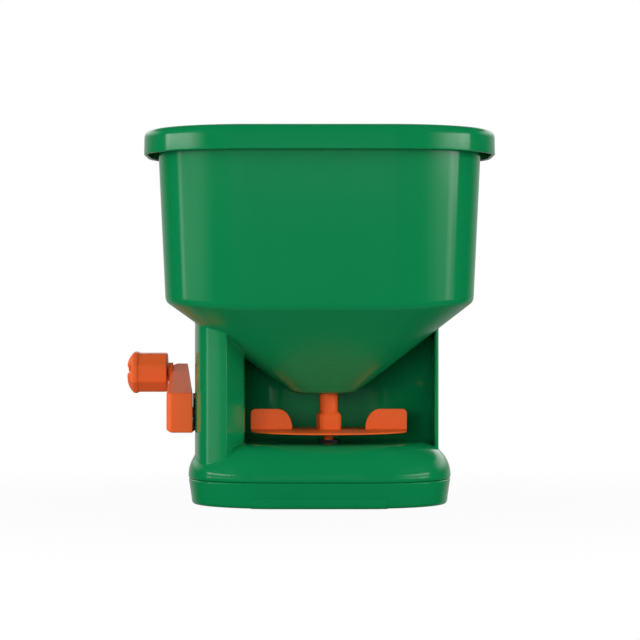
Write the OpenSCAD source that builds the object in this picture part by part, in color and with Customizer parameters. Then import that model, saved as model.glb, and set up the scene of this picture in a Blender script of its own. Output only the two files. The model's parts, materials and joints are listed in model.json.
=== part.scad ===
// Hand crank spreader: hopper, gear tower, spinner, crank, flow gate and rear handle.
// Millimetres. X runs to the viewer's right, Y to the back, Z up; the base rests on z = 0.

/* [Hopper] */
// Height of the rim's top above the floor
hopper_h = 240; // [236:1:250]
// Width of the hopper wall under the rim
hopper_w = 208; // [204:1:216]
// Depth of the hopper wall under the rim
hopper_d = 156; // [152:1:162]
// Corner radius of the hopper wall under the rim
hopper_corner = 60; // [50:1:70]
// Height where the wall turns in to the funnel
fold_z = 131; // [129:0.5:134]
// Hopper width at that fold
fold_w = 198; // [195:1:202]
// Hopper depth at that fold
fold_d = 145; // [143:1:148]
// Corner radius at that fold
fold_corner = 55; // [50:1:60]
// Length over which the fold is rounded on each side
fold_round = 6; // [3:0.5:10]
// Wall thickness of the hopper
hopper_wall = 2.5; // [2:0.1:3]
// How far the rim stands out past the wall
rim_reach = 8.7; // [7:0.1:10]
// Height of the rim's turned-down skirt
rim_h = 14.6; // [10:0.2:18]
// Thickness of the rim
rim_wall = 2.2; // [1.8:0.1:2.6]

/* [Outlet] */
// Height of the outlet's underside
outlet_z = 71.5; // [71:0.1:73]
// Width of the outlet's underside
outlet_w = 39; // [38:0.5:42]
// Sideways shift of the outlet from the middle
outlet_shift = 3; // [2:0.5:4]
// Thickness of the outlet cover's plate
cover_t = 2.6; // [2:0.1:3]
// Thickness of the gate plate
gate_t = 2.2; // [1.8:0.1:2.6]
// Thickness of the hopper floor
floor_t = 2.5; // [2:0.1:3]
// Outer radius of the gate plate
gate_r = 15; // [14.4:0.1:15.2]
// Number of flow holes
port_count = 3; // [2:1:3]
// Angle that each flow hole covers
port_angle = 26; // [18:1:28]
// Angle that the gate turns between shut and open
gate_swing = 32; // [30:1:34]
// Direction of the gate's lever when it is shut
lever_angle = 108; // [106:1:110]
// Width of the gate's lever
lever_w = 9; // [7:0.5:10]
// Distance of the gate knob from the spinner axis
knob_r = 71; // [70.5:0.5:72]

/* [Base] */
// Width of the base
base_w = 170; // [168:1:174]
// Depth of the base
base_d = 120; // [118:1:124]
// Corner radius of the base
base_corner = 58; // [54:1:58]
// Height of the seam between the deck and the pan
seam_z = 16; // [15:0.5:17]
// Height of the widest line of the base
girth_z = 18.9; // [18:0.1:20]
// Height of the deck's top
deck_z = 40; // [39.5:0.1:40.5]
// Wall thickness of the deck and the pan
base_wall = 2.5; // [2:0.1:3]
// Width of the proud pad under the base
pad_w = 86; // [70:1:95]
// How far the pad stands proud
pad_proud = 0.8; // [0.5:0.1:1.2]

/* [Tower and shield] */
// How far the tower's outer face stands in from the base's end
tower_inset = 4.1; // [3.6:0.1:4.6]
// Thickness of the tower from its outer face to its inner face
tower_t = 32.9; // [32.4:0.1:33.4]
// Corner radius of the tower at the front
tower_corner = 40; // [39:0.5:42]
// How far that corner's circle lies in from the base's front
tower_front_in = 10.4; // [10:0.1:11]
// How far the tower's front edge lies in from its outer face
tower_edge_in = 21.9; // [20.5:0.1:23]
// How far the tower's inner side slants back from that edge
tower_slant = 16; // [14:0.5:18]
// How far the shield's right face stands in from the base's end
shield_inset = 8; // [7:0.5:9]
// Outer face of the shield at the back
shield_back = 57.5; // [57:0.1:58]
// Corner radius of the shield at the back
shield_corner = 52; // [46:1:54]
// Front end of the shield's right wall
shield_end = 8; // [0:1:16]
// Wall thickness of the tower and the shield
tower_wall = 2.6; // [2.2:0.1:3]

/* [Spinner] */
// Sideways place of the spinner axis
spin_x = 6; // [5.5:0.1:6.5]
// Gap between the spinner disc and the tower
disc_gap = 3; // [2.5:0.1:6]
// Smallest gap between the spinner disc and the back wall
disc_back_gap = 3.9; // [3:0.1:6]
// Height of the disc's underside
disc_z = 46.3; // [45.5:0.1:47]
// Thickness of the disc
disc_t = 1.8; // [1.4:0.1:2.4]
// Height of a vane above the disc
vane_h = 13.2; // [12:0.2:16]
// Radius where a vane begins
vane_in = 23.7; // [20:0.5:30]
// Length of the curve where a vane rises at its inner end
vane_rise = 9.5; // [6:0.5:13]
// Thickness of a vane
vane_t = 2; // [1.6:0.1:2.6]
// Width of the square hub
hub_w = 13.9; // [13:0.1:15]
// Height of the hub's top
hub_z = 59; // [58:0.5:60]
// Diameter of the shaft above the hub
sleeve_d = 11.6; // [11:0.1:11.8]
// Diameter of the shaft below the hub
stub_d = 6; // [6:0.1:7]
// Reach of an agitator arm
agitator_r = 19; // [14:0.5:20]

/* [Crank] */
// Distance from the crank axis to the grip axis
crank_r = 56; // [52:1:57]
// Angle of the arm above the level in the rest position
crank_tilt = 26.6; // [22:0.2:28]
// Height of the arm's hub end
arm_h = 25.6; // [23:0.2:27]
// Thickness of the arm along the crank axis
arm_t = 17.2; // [15:0.1:18]
// Thickness of the arm at the grip end
arm_tip_t = 10.2; // [9:0.1:11]
// Width across flats of the grip
grip_w = 25.5; // [23:0.5:28]
// Length of the grip
grip_l = 26.6; // [23:0.1:32]
// Diameter of the grip's pin
pin_d = 5; // [4.4:0.2:5.4]
// Diameter of the crank shaft in its outer bush
crank_d = 10; // [10:0.2:11]
// Width of the crank shaft's square
square_w = 7; // [6.4:0.1:7]

/* [Gears] */
// Height of the layshaft
lay_z = 19; // [18.5:0.1:19.4]
// Module of the spur gears
spur_m = 1.25; // [1.2:0.01:1.26]
// Teeth on the crank gear
crank_teeth = 50; // [46:2:50]
// Teeth on the layshaft pinion
pinion_teeth = 14; // [12:1:14]
// Face width of the spur gears
spur_face = 7.5; // [6:0.5:8]
// Module of the bevel gears
bevel_m = 1.5; // [1.4:0.02:1.5]
// Teeth on the layshaft bevel gear
lay_bevel_teeth = 18; // [16:1:18]
// Teeth on the spinner bevel gear
spin_bevel_teeth = 14; // [13:1:14]
// Face width of the bevel gears
bevel_face = 5; // [4:0.2:5.4]
// Play between the gear teeth
backlash = 0.24; // [0.2:0.01:0.3]

/* [Handle] */
// Width of the handle
handle_w = 26; // [22:1:30]
// Depth of the handle's grip
handle_t = 28; // [24:1:30]
// Depth of the handle's two arms
handle_arm_t = 20; // [18:1:22]
// Place of the grip's middle behind the spinner axis
handle_y = 120; // [116:1:126]
// Height of the upper arm's middle
handle_top_z = 160; // [154:1:168]
// Height of the lower arm's middle
handle_low_z = 27; // [26.6:0.1:27.4]
// Bend radius of the handle's middle line
handle_bend = 22; // [18:1:24]
// Wall thickness of the handle
handle_wall = 2.6; // [2.2:0.1:3]
// Back face of the pad on the hopper
upper_pad_y = 80; // [79.5:0.1:82]
// Back face of the pad on the housing
lower_pad_y = 66; // [65:0.5:68]

/* [Fits] */
// Running clearance on the radius of a shaft or pin
run_gap = 0.1; // [0.05:0.01:0.1]
// Clearance on the radius of a pressed or keyed fit
press_gap = 0.03; // [0.02:0.01:0.05]
// Gap between shells that seat on each other
seat_gap = 0.15; // [0.1:0.05:0.25]
// Running gap between flat faces
face_gap = 0.3; // [0.25:0.05:0.5]
// Diameter of the larger screws
screw_d = 3.6; // [3:0.1:4]

/* [Hidden] */
$fn = 64;
corner_steps = 9;
crank_z = lay_z + spur_m * (crank_teeth + pinion_teeth) / 2;
// Sideways places of the tower's faces and front edge, and of the shield's right face
tower_left = base_w / 2 - tower_inset;
tower_inner = tower_left - tower_t;
tower_edge = tower_left - tower_edge_in;
shield_right = base_w / 2 - shield_inset;
chamber_right = shield_right - tower_wall;
chamber_back = shield_back - tower_wall;
chamber_corner = shield_corner - tower_wall;
inner_corner = 30;
// The spinner disc fills the room between the tower and the back wall
disc_r = min(tower_inner + spin_x - disc_gap, chamber_back - disc_back_gap);
// Heights of the flow gate's layers, from the outlet's underside up
cover_top = outlet_z + cover_t;
gate_z = cover_top + face_gap;
floor_z = gate_z + gate_t + face_gap;
floor_top = floor_z + floor_t;
bush_top = floor_top + 1.2;
sleeve_r = sleeve_d / 2;
stub_r = stub_d / 2;
floor_bush_r = sleeve_r + run_gap + 1.6;
deck_bush_r = stub_r + run_gap + 2;
deck_bush_z = deck_z - base_wall - 0.6;
drive_w = 4;
socket_z = disc_z + 6;
// Hopper outlines as [half width, half depth, corner radius, middle x, z]
foot = [outlet_w / 2, outlet_w / 2, 13, outlet_shift, outlet_z];
fold = [fold_w / 2, fold_d / 2, fold_corner, 0, fold_z];
brim = [hopper_w / 2, hopper_d / 2, hopper_corner, 0, hopper_h - rim_wall];
funnel_rise = (fold_z - outlet_z) / ((fold_w - outlet_w) / 2);
funnel_wall = hopper_wall * sqrt(1 + 1 / funnel_rise / funnel_rise) * 1.02;
// Places of the crank parts along X
arm_gap = 0.9;
arm_inner = -tower_left - arm_gap;
arm_outer = arm_inner - arm_t;
collar_t = 2;
gear_room = 8.8;
spur_x = -tower_inner - tower_wall - gear_room - spur_face;
inner_seat = 6;
outer_seat = 5;
lay_left = spur_x - 1;
lay_right = -11.5;
lay_bush_r = 5;
lay_bush_l = 3.5;
lay_journal_d = 5.8;
hex_w = 6;
inner_journal_d = 6.4;
inner_bush_r = 5.5;
outer_bush_r = crank_d / 2 + run_gap + 2;
grip_y = crank_r * cos(crank_tilt);
grip_z = crank_z + crank_r * sin(crank_tilt);
grip_x = arm_outer - collar_t - 0.6;
boss_left = -base_w / 2 + 57;
boss_right = base_w / 2 - 33;
base_bosses = [
    [boss_left, -base_d / 2 + 20],
    [boss_left + 2, base_d / 2 - 22],
    [boss_right, -base_d / 2 + 26],
    [boss_right, base_d / 2 - 26]];
base_screw_l = 16;
head_d = 7;
head_t = 2.4;
cover_screws = [[-11.6, -9.2], [-11.6, 9.2]];
plate_screw_x = handle_w / 2 + head_d / 2 + 0.4;
plate_w = 2 * plate_screw_x + head_d + 2;
upper_plate = [plate_w, 28];
lower_plate = [plate_w, 20];
plate_t = 3.5;
clamp_seat = 4;
clamp_post_r = 5.4;
clamp_at = [[handle_y, handle_top_z - 34], [handle_y, handle_low_z + 34]];
hopper_screw_z = 104;
hopper_post_r = 3.4;
// The hopper screws stand where the back wall is flat
hopper_screw_x = [
    -tower_inner + inner_corner + hopper_post_r + 0.6,
    chamber_right - chamber_corner - hopper_post_r - 1.6];

// Points of an arc about a centre
function arc(c, r, a, b, n) = [for (i = [0:n])
    let (turn = a + (b - a) * i / n)
    c + r * [cos(turn), sin(turn)]];

// A value part of the way from one to another
function mix(a, b, t) = a * (1 - t) + b * t;

// A quadratic curve through a corner point
function bend(a, b, c, t) = mix(mix(a, b, t), mix(b, c, t), t);

// Outline of a rounded rectangle given as [half width, half depth, corner radius, middle x, z]
function ring(s) = [for (q = [0:3])
    let (sx = q == 0 || q == 1 ? 1 : -1, sy = q == 1 || q == 2 ? 1 : -1)
    let (middle = [s[3] + sx * (s[0] - s[2]), sy * (s[1] - s[2])])
    for (p = arc(middle, s[2], q * 90 - 90, q * 90, corner_steps))
        [p[0], p[1], s[4]]];

// The same outline grown sideways by a distance
function grown(s, by) = [s[0] + by, s[1] + by, s[2] + by, s[3], s[4]];

// The same outline at another height
function at_z(s, z) = [s[0], s[1], s[2], s[3], z];

// The place of a height between two outlines
function between(a, b, z) = mix(a, b, (z - a[4]) / (b[4] - a[4]));

// A closed skin through a list of rings with the same number of points
module skin(rings) {
    n = len(rings[0]);
    last = len(rings) - 1;
    polyhedron(
        points = [for (r = rings) each r],
        faces = concat(
            [[for (j = [0:n - 1]) j]],
            [for (i = [0:last - 1]) for (j = [0:n - 1]) let (k = (j + 1) % n)
                let (a = i * n, b = a + n)
                each [[a + j, b + j, b + k], [a + j, b + k, a + k]]],
            [[for (j = [n - 1:-1:0]) last * n + j]]));
}

// A skin through outlines given as [half width, half depth, corner radius, middle x, z]
module loft(outlines) {
    skin([for (s = outlines) ring(s)]);
}

// The hopper's outer outlines from a height up to under the rim
fold_in = mix(fold, foot, fold_round / norm([fold[0] - foot[0], fold[4] - foot[4]]));
fold_up = mix(fold, brim, fold_round / (brim[4] - fold[4]));
function hopper_outside(z) = concat(
    [between(foot, fold, z)],
    [for (t = [0:0.25:1]) bend(fold_in, fold, fold_up, t)],
    [brim]);

// The hopper's inner outlines from the rim down to the floor
inner_fold = grown(fold, -hopper_wall);
inner_foot = grown(between(foot, fold, floor_top), -funnel_wall);
inner_brim = grown(at_z(brim, hopper_h), -hopper_wall);
inner_in = mix(inner_fold, inner_foot, fold_round / norm([fold[0] - foot[0], fold[4] - foot[4]]));
inner_up = mix(inner_fold, inner_brim, fold_round / (brim[4] - fold[4]));
hopper_inside = concat(
    [inner_brim],
    [for (t = [0:0.25:1]) bend(inner_up, inner_fold, inner_in, t)],
    [inner_foot]);

// The rim's outlines over the wall's top
rim_low = at_z(grown(brim, rim_reach), hopper_h - rim_h);
rim_outlines = [
    at_z(grown(brim, rim_reach - rim_wall - 0.6), hopper_h - rim_wall),
    grown(rim_low, -rim_wall),
    rim_low,
    at_z(grown(brim, rim_reach - 0.6), hopper_h - 2.4),
    at_z(grown(brim, rim_reach - 1.2), hopper_h - 0.8),
    at_z(grown(brim, rim_reach - 3), hopper_h)];

// A flow hole's flat outline about the spinner axis
module port_outline(turn) {
    inner = floor_bush_r + 1.4;
    outer = gate_r - 1.2;
    for (k = [0:port_count - 1])
        let (mid = turn + k * 360 / port_count)
            polygon(concat(
                arc([0, 0], inner, mid - port_angle / 2, mid + port_angle / 2, 6),
                arc([0, 0], outer, mid + port_angle / 2, mid - port_angle / 2, 6)));
}

port_turn = lever_angle + 60;

module hopper() {
    color("green") difference() {
        union() {
            loft(concat(hopper_outside(floor_z), rim_outlines, hopper_inside));
            // Flat pad for the handle's upper end
            translate([-upper_plate[0] / 2, hopper_d / 2 - 5.4, handle_top_z - upper_plate[1] / 2])
                cube([upper_plate[0], upper_pad_y - hopper_d / 2 + 5.4, upper_plate[1]]);
            // Posts behind the funnel that take the hopper screws
            for (x = hopper_screw_x)
                translate([x, hopper_post_y, hopper_screw_z])
                    rotate([-90, 0, 0])
                        cylinder(r = hopper_post_r, h = chamber_back - seat_gap - hopper_post_y);
            // Small posts that take the outlet screws
            for (p = cover_screws)
                translate([p[0], p[1], floor_top - 1])
                    cylinder(r = 3, h = 4);
        }
        translate([spin_x, 0, floor_z - 1])
            cylinder(r = floor_bush_r + press_gap, h = floor_t + 2);
        translate([spin_x, 0, floor_z - 1])
            linear_extrude(floor_t + 2)
                port_outline(port_turn);
        for (p = cover_screws)
            translate([p[0], p[1], floor_z - 1])
                cylinder(d = 2.4 + 2 * press_gap, h = 5);
        for (x = hopper_screw_x)
            translate([x, hopper_post_y + 1.5, hopper_screw_z])
                rotate([-90, 0, 0])
                    cylinder(d = screw_d + 2 * press_gap, h = 20);
        for (x = [-plate_screw_x, plate_screw_x])
            translate([x, upper_pad_y - 6, handle_top_z])
                rotate([-90, 0, 0])
                    cylinder(d = screw_d + 2 * press_gap, h = 7);
    }
}

// The outer outline of the tower and shield seen from above
tower_mid = [-tower_left + tower_corner, tower_corner - base_d / 2 + tower_front_in];
edge_angle = 180 + acos((tower_edge + tower_mid[0]) / tower_corner);
edge_y = tower_mid[1] + tower_corner * sin(edge_angle);
housing_outline = concat(
    arc(tower_mid, tower_corner, edge_angle, 180, 10),
    arc([-tower_left + shield_corner, shield_back - shield_corner], shield_corner, 180, 90, 14),
    arc([shield_right - shield_corner, shield_back - shield_corner], shield_corner, 90, 0, 14),
    arc([shield_right - tower_wall / 2, -shield_end], tower_wall / 2, 0, -180, 8),
    arc([chamber_right - chamber_corner, chamber_back - chamber_corner], chamber_corner, 0, 90, 14),
    arc([-tower_inner + inner_corner, chamber_back - inner_corner], inner_corner, 90, 180, 10),
    [[-tower_inner, edge_y + tower_slant]]);

// The hollow of the tower seen from above
hollow_right = tower_inner + tower_wall;
hollow_corner = shield_corner - tower_wall;
tower_hollow = concat(
    arc(tower_mid, tower_corner - tower_wall, edge_angle - 4, 180, 10),
    arc([-tower_left + shield_corner, shield_back - shield_corner], hollow_corner, 180, 125, 8),
    [[-hollow_right, chamber_back - inner_corner + 8], [-hollow_right, edge_y + tower_slant + 1]]);
hopper_post_y = between(inner_foot, inner_fold, hopper_screw_z + hopper_post_r)[1] + 0.6;

// The deck's outlines at an angle of its rolled edge, for a wall depth
roll = deck_z - girth_z;
function deck_at(a, by) = [
    base_w / 2 - roll + (roll - by) * cos(a),
    base_d / 2 - roll + (roll - by) * cos(a),
    base_corner - roll + (roll - by) * cos(a),
    0,
    girth_z + (roll - by) * sin(a)];
roll_steps = [0:15:90];
deck_edge = grown(at_z(deck_at(0, 0), seam_z + seat_gap), -0.4);
deck_outlines = concat(
    [for (a = [90:-15:0]) deck_at(a, base_wall)],
    [grown(deck_edge, -base_wall + 0.4)],
    [deck_edge],
    [for (a = roll_steps) deck_at(a, 0)]);

module housing() {
    boss_r = 4.6;
    color("green") difference() {
        union() {
            loft(deck_outlines);
            translate([0, 0, girth_z + 6])
                linear_extrude(fold_z - girth_z - 6)
                    polygon(housing_outline);
            for (p = base_bosses)
                translate([p[0], p[1], 9])
                    cylinder(r = boss_r, h = deck_z - base_wall + 0.5 - 9);
            // Flat pad for the handle's lower end
            translate([-lower_plate[0] / 2, base_d / 2 - 12, handle_low_z - lower_plate[1] / 2])
                cube([lower_plate[0], lower_pad_y - base_d / 2 + 12, lower_plate[1]]);
        }
        // The tower's hollow, open to the base
        translate([0, 0, girth_z - 4])
            linear_extrude(fold_z)
                polygon(tower_hollow);
        // The hopper's underside, which the walls stop at
        translate([0, 0, -seat_gap])
            loft(concat(
                [between(foot, fold, outlet_z - 2)],
                [for (t = [0:0.25:1]) bend(fold_in, fold, fold_up, t)],
                [at_z(brim, fold_z + 30)]));
        translate([-tower_left - 1, 0, crank_z])
            rotate([0, 90, 0])
                cylinder(r = outer_bush_r + press_gap, h = tower_wall + 2);
        translate([spin_x, 0, deck_z - base_wall - 1])
            cylinder(r = deck_bush_r + press_gap, h = base_wall + 2);
        for (p = base_bosses)
            translate([p[0], p[1], 8])
                cylinder(d = screw_d + 2 * press_gap, h = 16);
        for (x = [-plate_screw_x, plate_screw_x])
            translate([x, lower_pad_y - 10, handle_low_z])
                rotate([-90, 0, 0])
                    cylinder(d = screw_d + 2 * press_gap, h = 11);
        for (x = hopper_screw_x)
            translate([x, chamber_back - 1, hopper_screw_z])
                rotate([-90, 0, 0])
                    cylinder(d = screw_d + 2 * face_gap, h = 6);
        // The slot that the gate lever sweeps through
        translate([spin_x, 0, gate_z - face_gap])
            rotate([0, 0, lever_angle - gate_swing - 8])
                rotate_extrude(angle = gate_swing + 16)
                    translate([44, 0])
                        square([44, gate_t + 2 * face_gap]);
    }
    // The seat of the crank shaft's inner bush
    color("green") difference() {
        translate([-hollow_right - inner_seat, 0, crank_z])
            rotate([0, 90, 0])
                cylinder(r = inner_bush_r + 2.6, h = inner_seat + 0.4);
        translate([-hollow_right - inner_seat - 1, 0, crank_z])
            rotate([0, 90, 0])
                cylinder(r = inner_bush_r + press_gap, h = inner_seat + 1);
    }
    // The flat seat of its outer bush in the curved wall
    color("green") difference() {
        translate([-tower_left, 0, crank_z])
            rotate([0, 90, 0])
                cylinder(r = outer_bush_r + 4, h = outer_seat);
        translate([-tower_left - 1, 0, crank_z])
            rotate([0, 90, 0])
                cylinder(r = outer_bush_r + press_gap, h = outer_seat + 2);
    }
}

// The pan's outlines, bottom to top and back down inside
pan_top = grown(at_z(deck_at(0, 0), seam_z), -0.7);
pan_waist = [base_w / 2 - 2.8, base_d / 2 - 2.8, base_corner - 2.8, 0, 4.5];
pan_floor = [base_w / 2 - 7, base_d / 2 - 7, base_corner - 7, 0, pad_proud];
function pan_low(t) = bend(pan_floor, at_z(pan_waist, pad_proud), pan_waist, t);
pan_outside = concat([for (t = [0:0.25:1]) pan_low(t)], [pan_top]);
pan_inside = [
    grown(pan_top, -base_wall),
    grown(pan_waist, -base_wall),
    grown(at_z(pan_floor, pad_proud + base_wall), -0.4)];

// A stand with an open slot for a layshaft bush
module lay_stand(x, t) {
    translate([x, 0, 0])
        rotate([90, 0, 90])
            linear_extrude(t)
                difference() {
                    polygon([[-11, base_wall], [11, base_wall], [8.5, lay_z + 4], [-8.5, lay_z + 4]]);
                    translate([0, lay_z])
                        circle(r = lay_bush_r + press_gap);
                    translate([-lay_bush_r - press_gap, lay_z])
                        square([2 * lay_bush_r + 2 * press_gap, 8]);
                }
}

module base_pan() {
    color("green") difference() {
        union() {
            loft(concat(pan_outside, pan_inside));
            intersection() {
                loft([for (s = pan_outside) grown(at_z(s, s[4] - pad_proud), pad_proud)]);
                translate([-pad_w / 2, -base_d, 0])
                    cube([pad_w, 2 * base_d, 7]);
                difference() {
                    translate([-base_w, -base_d, -1])
                        cube([2 * base_w, 2 * base_d, 20]);
                    loft(concat([at_z(pan_inside[2], pad_proud + base_wall - 0.5)],
                        [at_z(pan_inside[1], 4.5), at_z(pan_inside[0], seam_z)]));
                }
            }
            lay_stand(lay_left - lay_bush_l - 0.4, lay_bush_l);
            lay_stand(lay_right - lay_bush_l, lay_bush_l);
            for (p = base_bosses)
                translate([p[0], p[1], pad_proud + 1])
                    cylinder(r = 6, h = 9 - face_gap - pad_proud - 1);
        }
        for (p = base_bosses) {
            translate([p[0], p[1], -1])
                cylinder(d = screw_d + 2 * face_gap, h = 12);
            translate([p[0], p[1], -1])
                cylinder(d = screw_d * 2 + 0.8, h = 5);
        }
    }
}

module outlet_cover() {
    top = floor_z - seat_gap;
    color("green") difference() {
        loft([foot, between(foot, fold, top)]);
        // The round pocket that the gate turns in
        translate([spin_x, 0, cover_top])
            cylinder(r = gate_r + 0.5, h = 10);
        translate([spin_x, 0, outlet_z - 1])
            cylinder(r = sleeve_r + 0.8, h = 10);
        translate([spin_x, 0, outlet_z - 1])
            linear_extrude(10)
                port_outline(port_turn);
        translate([spin_x, 0, cover_top])
            rotate([0, 0, lever_angle - gate_swing - 28])
                rotate_extrude(angle = gate_swing + 56)
                    translate([8, 0])
                        square([30, 10]);
        for (p = cover_screws) {
            translate([p[0], p[1], outlet_z - 1])
                cylinder(d = 2.4 + 2 * face_gap, h = 10);
            translate([p[0], p[1], outlet_z - 1])
                cylinder(d = 5.4, h = 2.6);
        }
    }
}

// The handle's middle line as [y, z, half depth, angle of travel]
handle_path = concat(
    [[upper_pad_y, handle_top_z, handle_arm_t / 2, 0]],
    [for (i = [0:8])
        let (p = arc([handle_y - handle_bend, handle_top_z - handle_bend], handle_bend, 90, 0, 8)[i])
        [p[0], p[1], mix(handle_arm_t, handle_t, i / 8) / 2, -i * 90 / 8]],
    [for (i = [0:8])
        let (p = arc([handle_y - handle_bend, handle_low_z + handle_bend], handle_bend, 0, -90, 8)[i])
        [p[0], p[1], mix(handle_t, handle_arm_t, i / 8) / 2, -90 - i * 90 / 8]],
    [[lower_pad_y, handle_low_z, handle_arm_t / 2, -180]]);

// The same line for the hollow inside, stopping short of the end plates
handle_core = [for (i = [0:len(handle_path) - 1])
    let (h = handle_path[i], end = i == 0 || i == len(handle_path) - 1)
    [h[0] + (end ? plate_t : 0), h[1], h[2], h[3]]];

// Half of the handle's rounded section, with its flat on a plane beside the seam
function half_section(w, t, flat) = concat(
    [[flat, t], [w * 0.2, t]],
    [for (a = [75:-15:-75]) [w * pow(cos(a), 0.75), t * sign(sin(a)) * pow(abs(sin(a)), 0.75)]],
    [[w * 0.2, -t], [flat, -t]]);

// A swept half of the handle, drawn in by a wall, on the side of sign s
module handle_sweep(path, s, wall, flat) {
    last = len(half_section(1, 1, 0)) - 1;
    skin([for (h = path)
        let (q = half_section(handle_w / 2 - wall, h[2] - wall, flat))
        [for (i = [0:last]) let (k = q[s > 0 ? i : last - i])
            [s * k[0], h[0] - k[1] * sin(h[3]), h[1] + k[1] * cos(h[3])]]]);
}

// One half of the handle on the side of sign s
module handle_half(s) {
    seam = 0.05;
    // A turn that keeps a cylinder's seam line off the section's edges
    seam_turn = 30;
    plate_at = [[upper_pad_y, handle_top_z, upper_plate], [lower_pad_y, handle_low_z, lower_plate]];
    difference() {
        union() {
            difference() {
                handle_sweep(handle_path, s, 0, seam);
                handle_sweep(handle_core, s, handle_wall, -1);
            }
            // End plates that screw to the hopper and the housing
            for (p = plate_at)
                translate([s > 0 ? seam : -p[2][0] / 2, p[0] + 0.02, p[1] - p[2][1] / 2])
                    cube([p[2][0] / 2 - seam, plate_t, p[2][1]]);
            // Posts for the clamp screws
            for (c = clamp_at)
                translate([s > 0 ? seam : -handle_w / 2 + 1, c[0], c[1]])
                    rotate([0, 90, 0])
                        rotate(seam_turn)
                            cylinder(r = clamp_post_r, h = handle_w / 2 - 1 - seam);
        }
        for (p = plate_at)
            translate([s * plate_screw_x, p[0] - 1, p[1]])
                rotate([-90, 0, 0])
                    cylinder(d = screw_d + 2 * face_gap, h = plate_t + 2);
        for (c = clamp_at) {
            // A loose hole and a head pocket on the right, a tight blind hole on the left
            hole_d = screw_d + 2 * (s > 0 ? face_gap : press_gap);
            translate([s > 0 ? -1 : -handle_w / 2 + 3, c[0], c[1]])
                rotate([0, 90, 0])
                    rotate(seam_turn)
                        cylinder(d = hole_d, h = handle_w / 2 - (s > 0 ? 0 : 2));
            if (s > 0)
                translate([handle_w / 2 - clamp_seat, c[0], c[1]])
                    rotate([0, 90, 0])
                        rotate(seam_turn)
                            cylinder(d = head_d + 1, h = 2 * clamp_seat, $fn = 12);
        }
    }
}

module handle_left() {
    color("green") handle_half(-1);
}

module handle_right() {
    color("green") handle_half(1);
}

// A flanged bush standing on z = 0 with its flange below
module bush(bore_r, body_r, body_h, flange_r, flange_t) {
    difference() {
        union() {
            cylinder(r = body_r, h = body_h);
            translate([0, 0, -flange_t])
                cylinder(r = flange_r, h = flange_t);
        }
        translate([0, 0, -flange_t - 1])
            cylinder(r = bore_r, h = body_h + flange_t + 2);
    }
}

module crank_bush() {
    color("gray") translate([-tower_left, 0, crank_z])
        rotate([0, 90, 0])
            bush(crank_d / 2 + run_gap, outer_bush_r, outer_seat + 0.6, outer_bush_r + 3, arm_gap - face_gap);
}

module crank_inner_bush() {
    color("gray") translate([-hollow_right - inner_seat, 0, crank_z])
        rotate([0, 90, 0])
            bush(inner_journal_d / 2 + run_gap, inner_bush_r, inner_seat - 0.4, inner_bush_r + 2, 1);
}

module deck_bush() {
    color("gray") translate([spin_x, 0, deck_z])
        mirror([0, 0, 1])
            bush(stub_r + run_gap, deck_bush_r, deck_z - deck_bush_z, deck_bush_r + 2, 1.2);
}

module floor_bush() {
    color("gray") translate([spin_x, 0, floor_top])
        mirror([0, 0, 1])
            bush(sleeve_r + run_gap, floor_bush_r, floor_top - gate_z, floor_bush_r + 1.3,
                bush_top - floor_top);
}

module layshaft_bush_left() {
    color("gray") translate([lay_left, 0, lay_z])
        rotate([0, -90, 0])
            translate([0, 0, 0.4])
                bush(lay_journal_d / 2 + run_gap, lay_bush_r, lay_bush_l, lay_bush_r + 1.6, 0.8);
}

module layshaft_bush_right() {
    color("gray") translate([lay_right, 0, lay_z])
        rotate([0, -90, 0])
            bush(lay_journal_d / 2 + run_gap, lay_bush_r, lay_bush_l, lay_bush_r + 1.6, 0.8);
}

// A pan-head screw hanging down from z = 0, with a cross recess in its head
module screw(d, length, head_d, head_t) {
    difference() {
        union() {
            translate([0, 0, -length])
                cylinder(d = d, h = length);
            cylinder(d = head_d, h = head_t);
        }
        for (a = [0, 90])
            translate([0, 0, head_t])
                rotate([0, 0, a])
                    cube([head_d * 0.6, head_d * 0.14, head_t], center = true);
    }
}

module base_screws() {
    color("silver") for (p = base_bosses)
        translate([p[0], p[1], 4])
            rotate([180, 0, 0])
                screw(screw_d, base_screw_l, screw_d * 2, 2);
}

module hopper_screws() {
    color("silver") for (x = hopper_screw_x)
        translate([x, shield_back, hopper_screw_z])
            rotate([-90, 0, 0])
                screw(screw_d, shield_back - hopper_post_y - 2, head_d, head_t);
}

module outlet_screws() {
    color("silver") for (p = cover_screws)
        translate([p[0], p[1], outlet_z + 1.6])
            rotate([180, 0, 0])
                screw(2.4, floor_z + 3 - outlet_z - 1.6, 4.6, 1.4);
}

module handle_screws() {
    color("silver") for (x = [-plate_screw_x, plate_screw_x]) {
        translate([x, upper_pad_y + plate_t + 0.02, handle_top_z])
            rotate([-90, 0, 0])
                screw(screw_d, 8, head_d, head_t);
        translate([x, lower_pad_y + plate_t + 0.02, handle_low_z])
            rotate([-90, 0, 0])
                screw(screw_d, 12, head_d, head_t);
    }
}

module handle_clamp_screws() {
    color("silver") for (c = clamp_at)
        translate([handle_w / 2 - clamp_seat, c[0], c[1]])
            rotate([0, 90, 0])
                screw(screw_d, handle_w - 2 * clamp_seat, head_d, head_t);
}

// The arm's flat side shape about the crank axis, in Y and Z
arm_half = arm_h / 2;
pin_at = [grip_y, grip_z - crank_z];
arm_middle = 0.4 * pin_at;
arm_outline = [
    [-arm_half, -arm_half],
    [arm_half, -arm_half],
    pin_at + [7.5, -8],
    pin_at + [5.5, 6],
    [-arm_half, arm_half]];

// A thin slice of the arm's shape, drawn in by a distance
module arm_slice(x, t, shrink) {
    translate([x, 0, crank_z])
        rotate([90, 0, 90])
            linear_extrude(t)
                polygon([for (p = arm_outline) p - shrink * (p - arm_middle) / norm(p - arm_middle)]);
}

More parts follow.
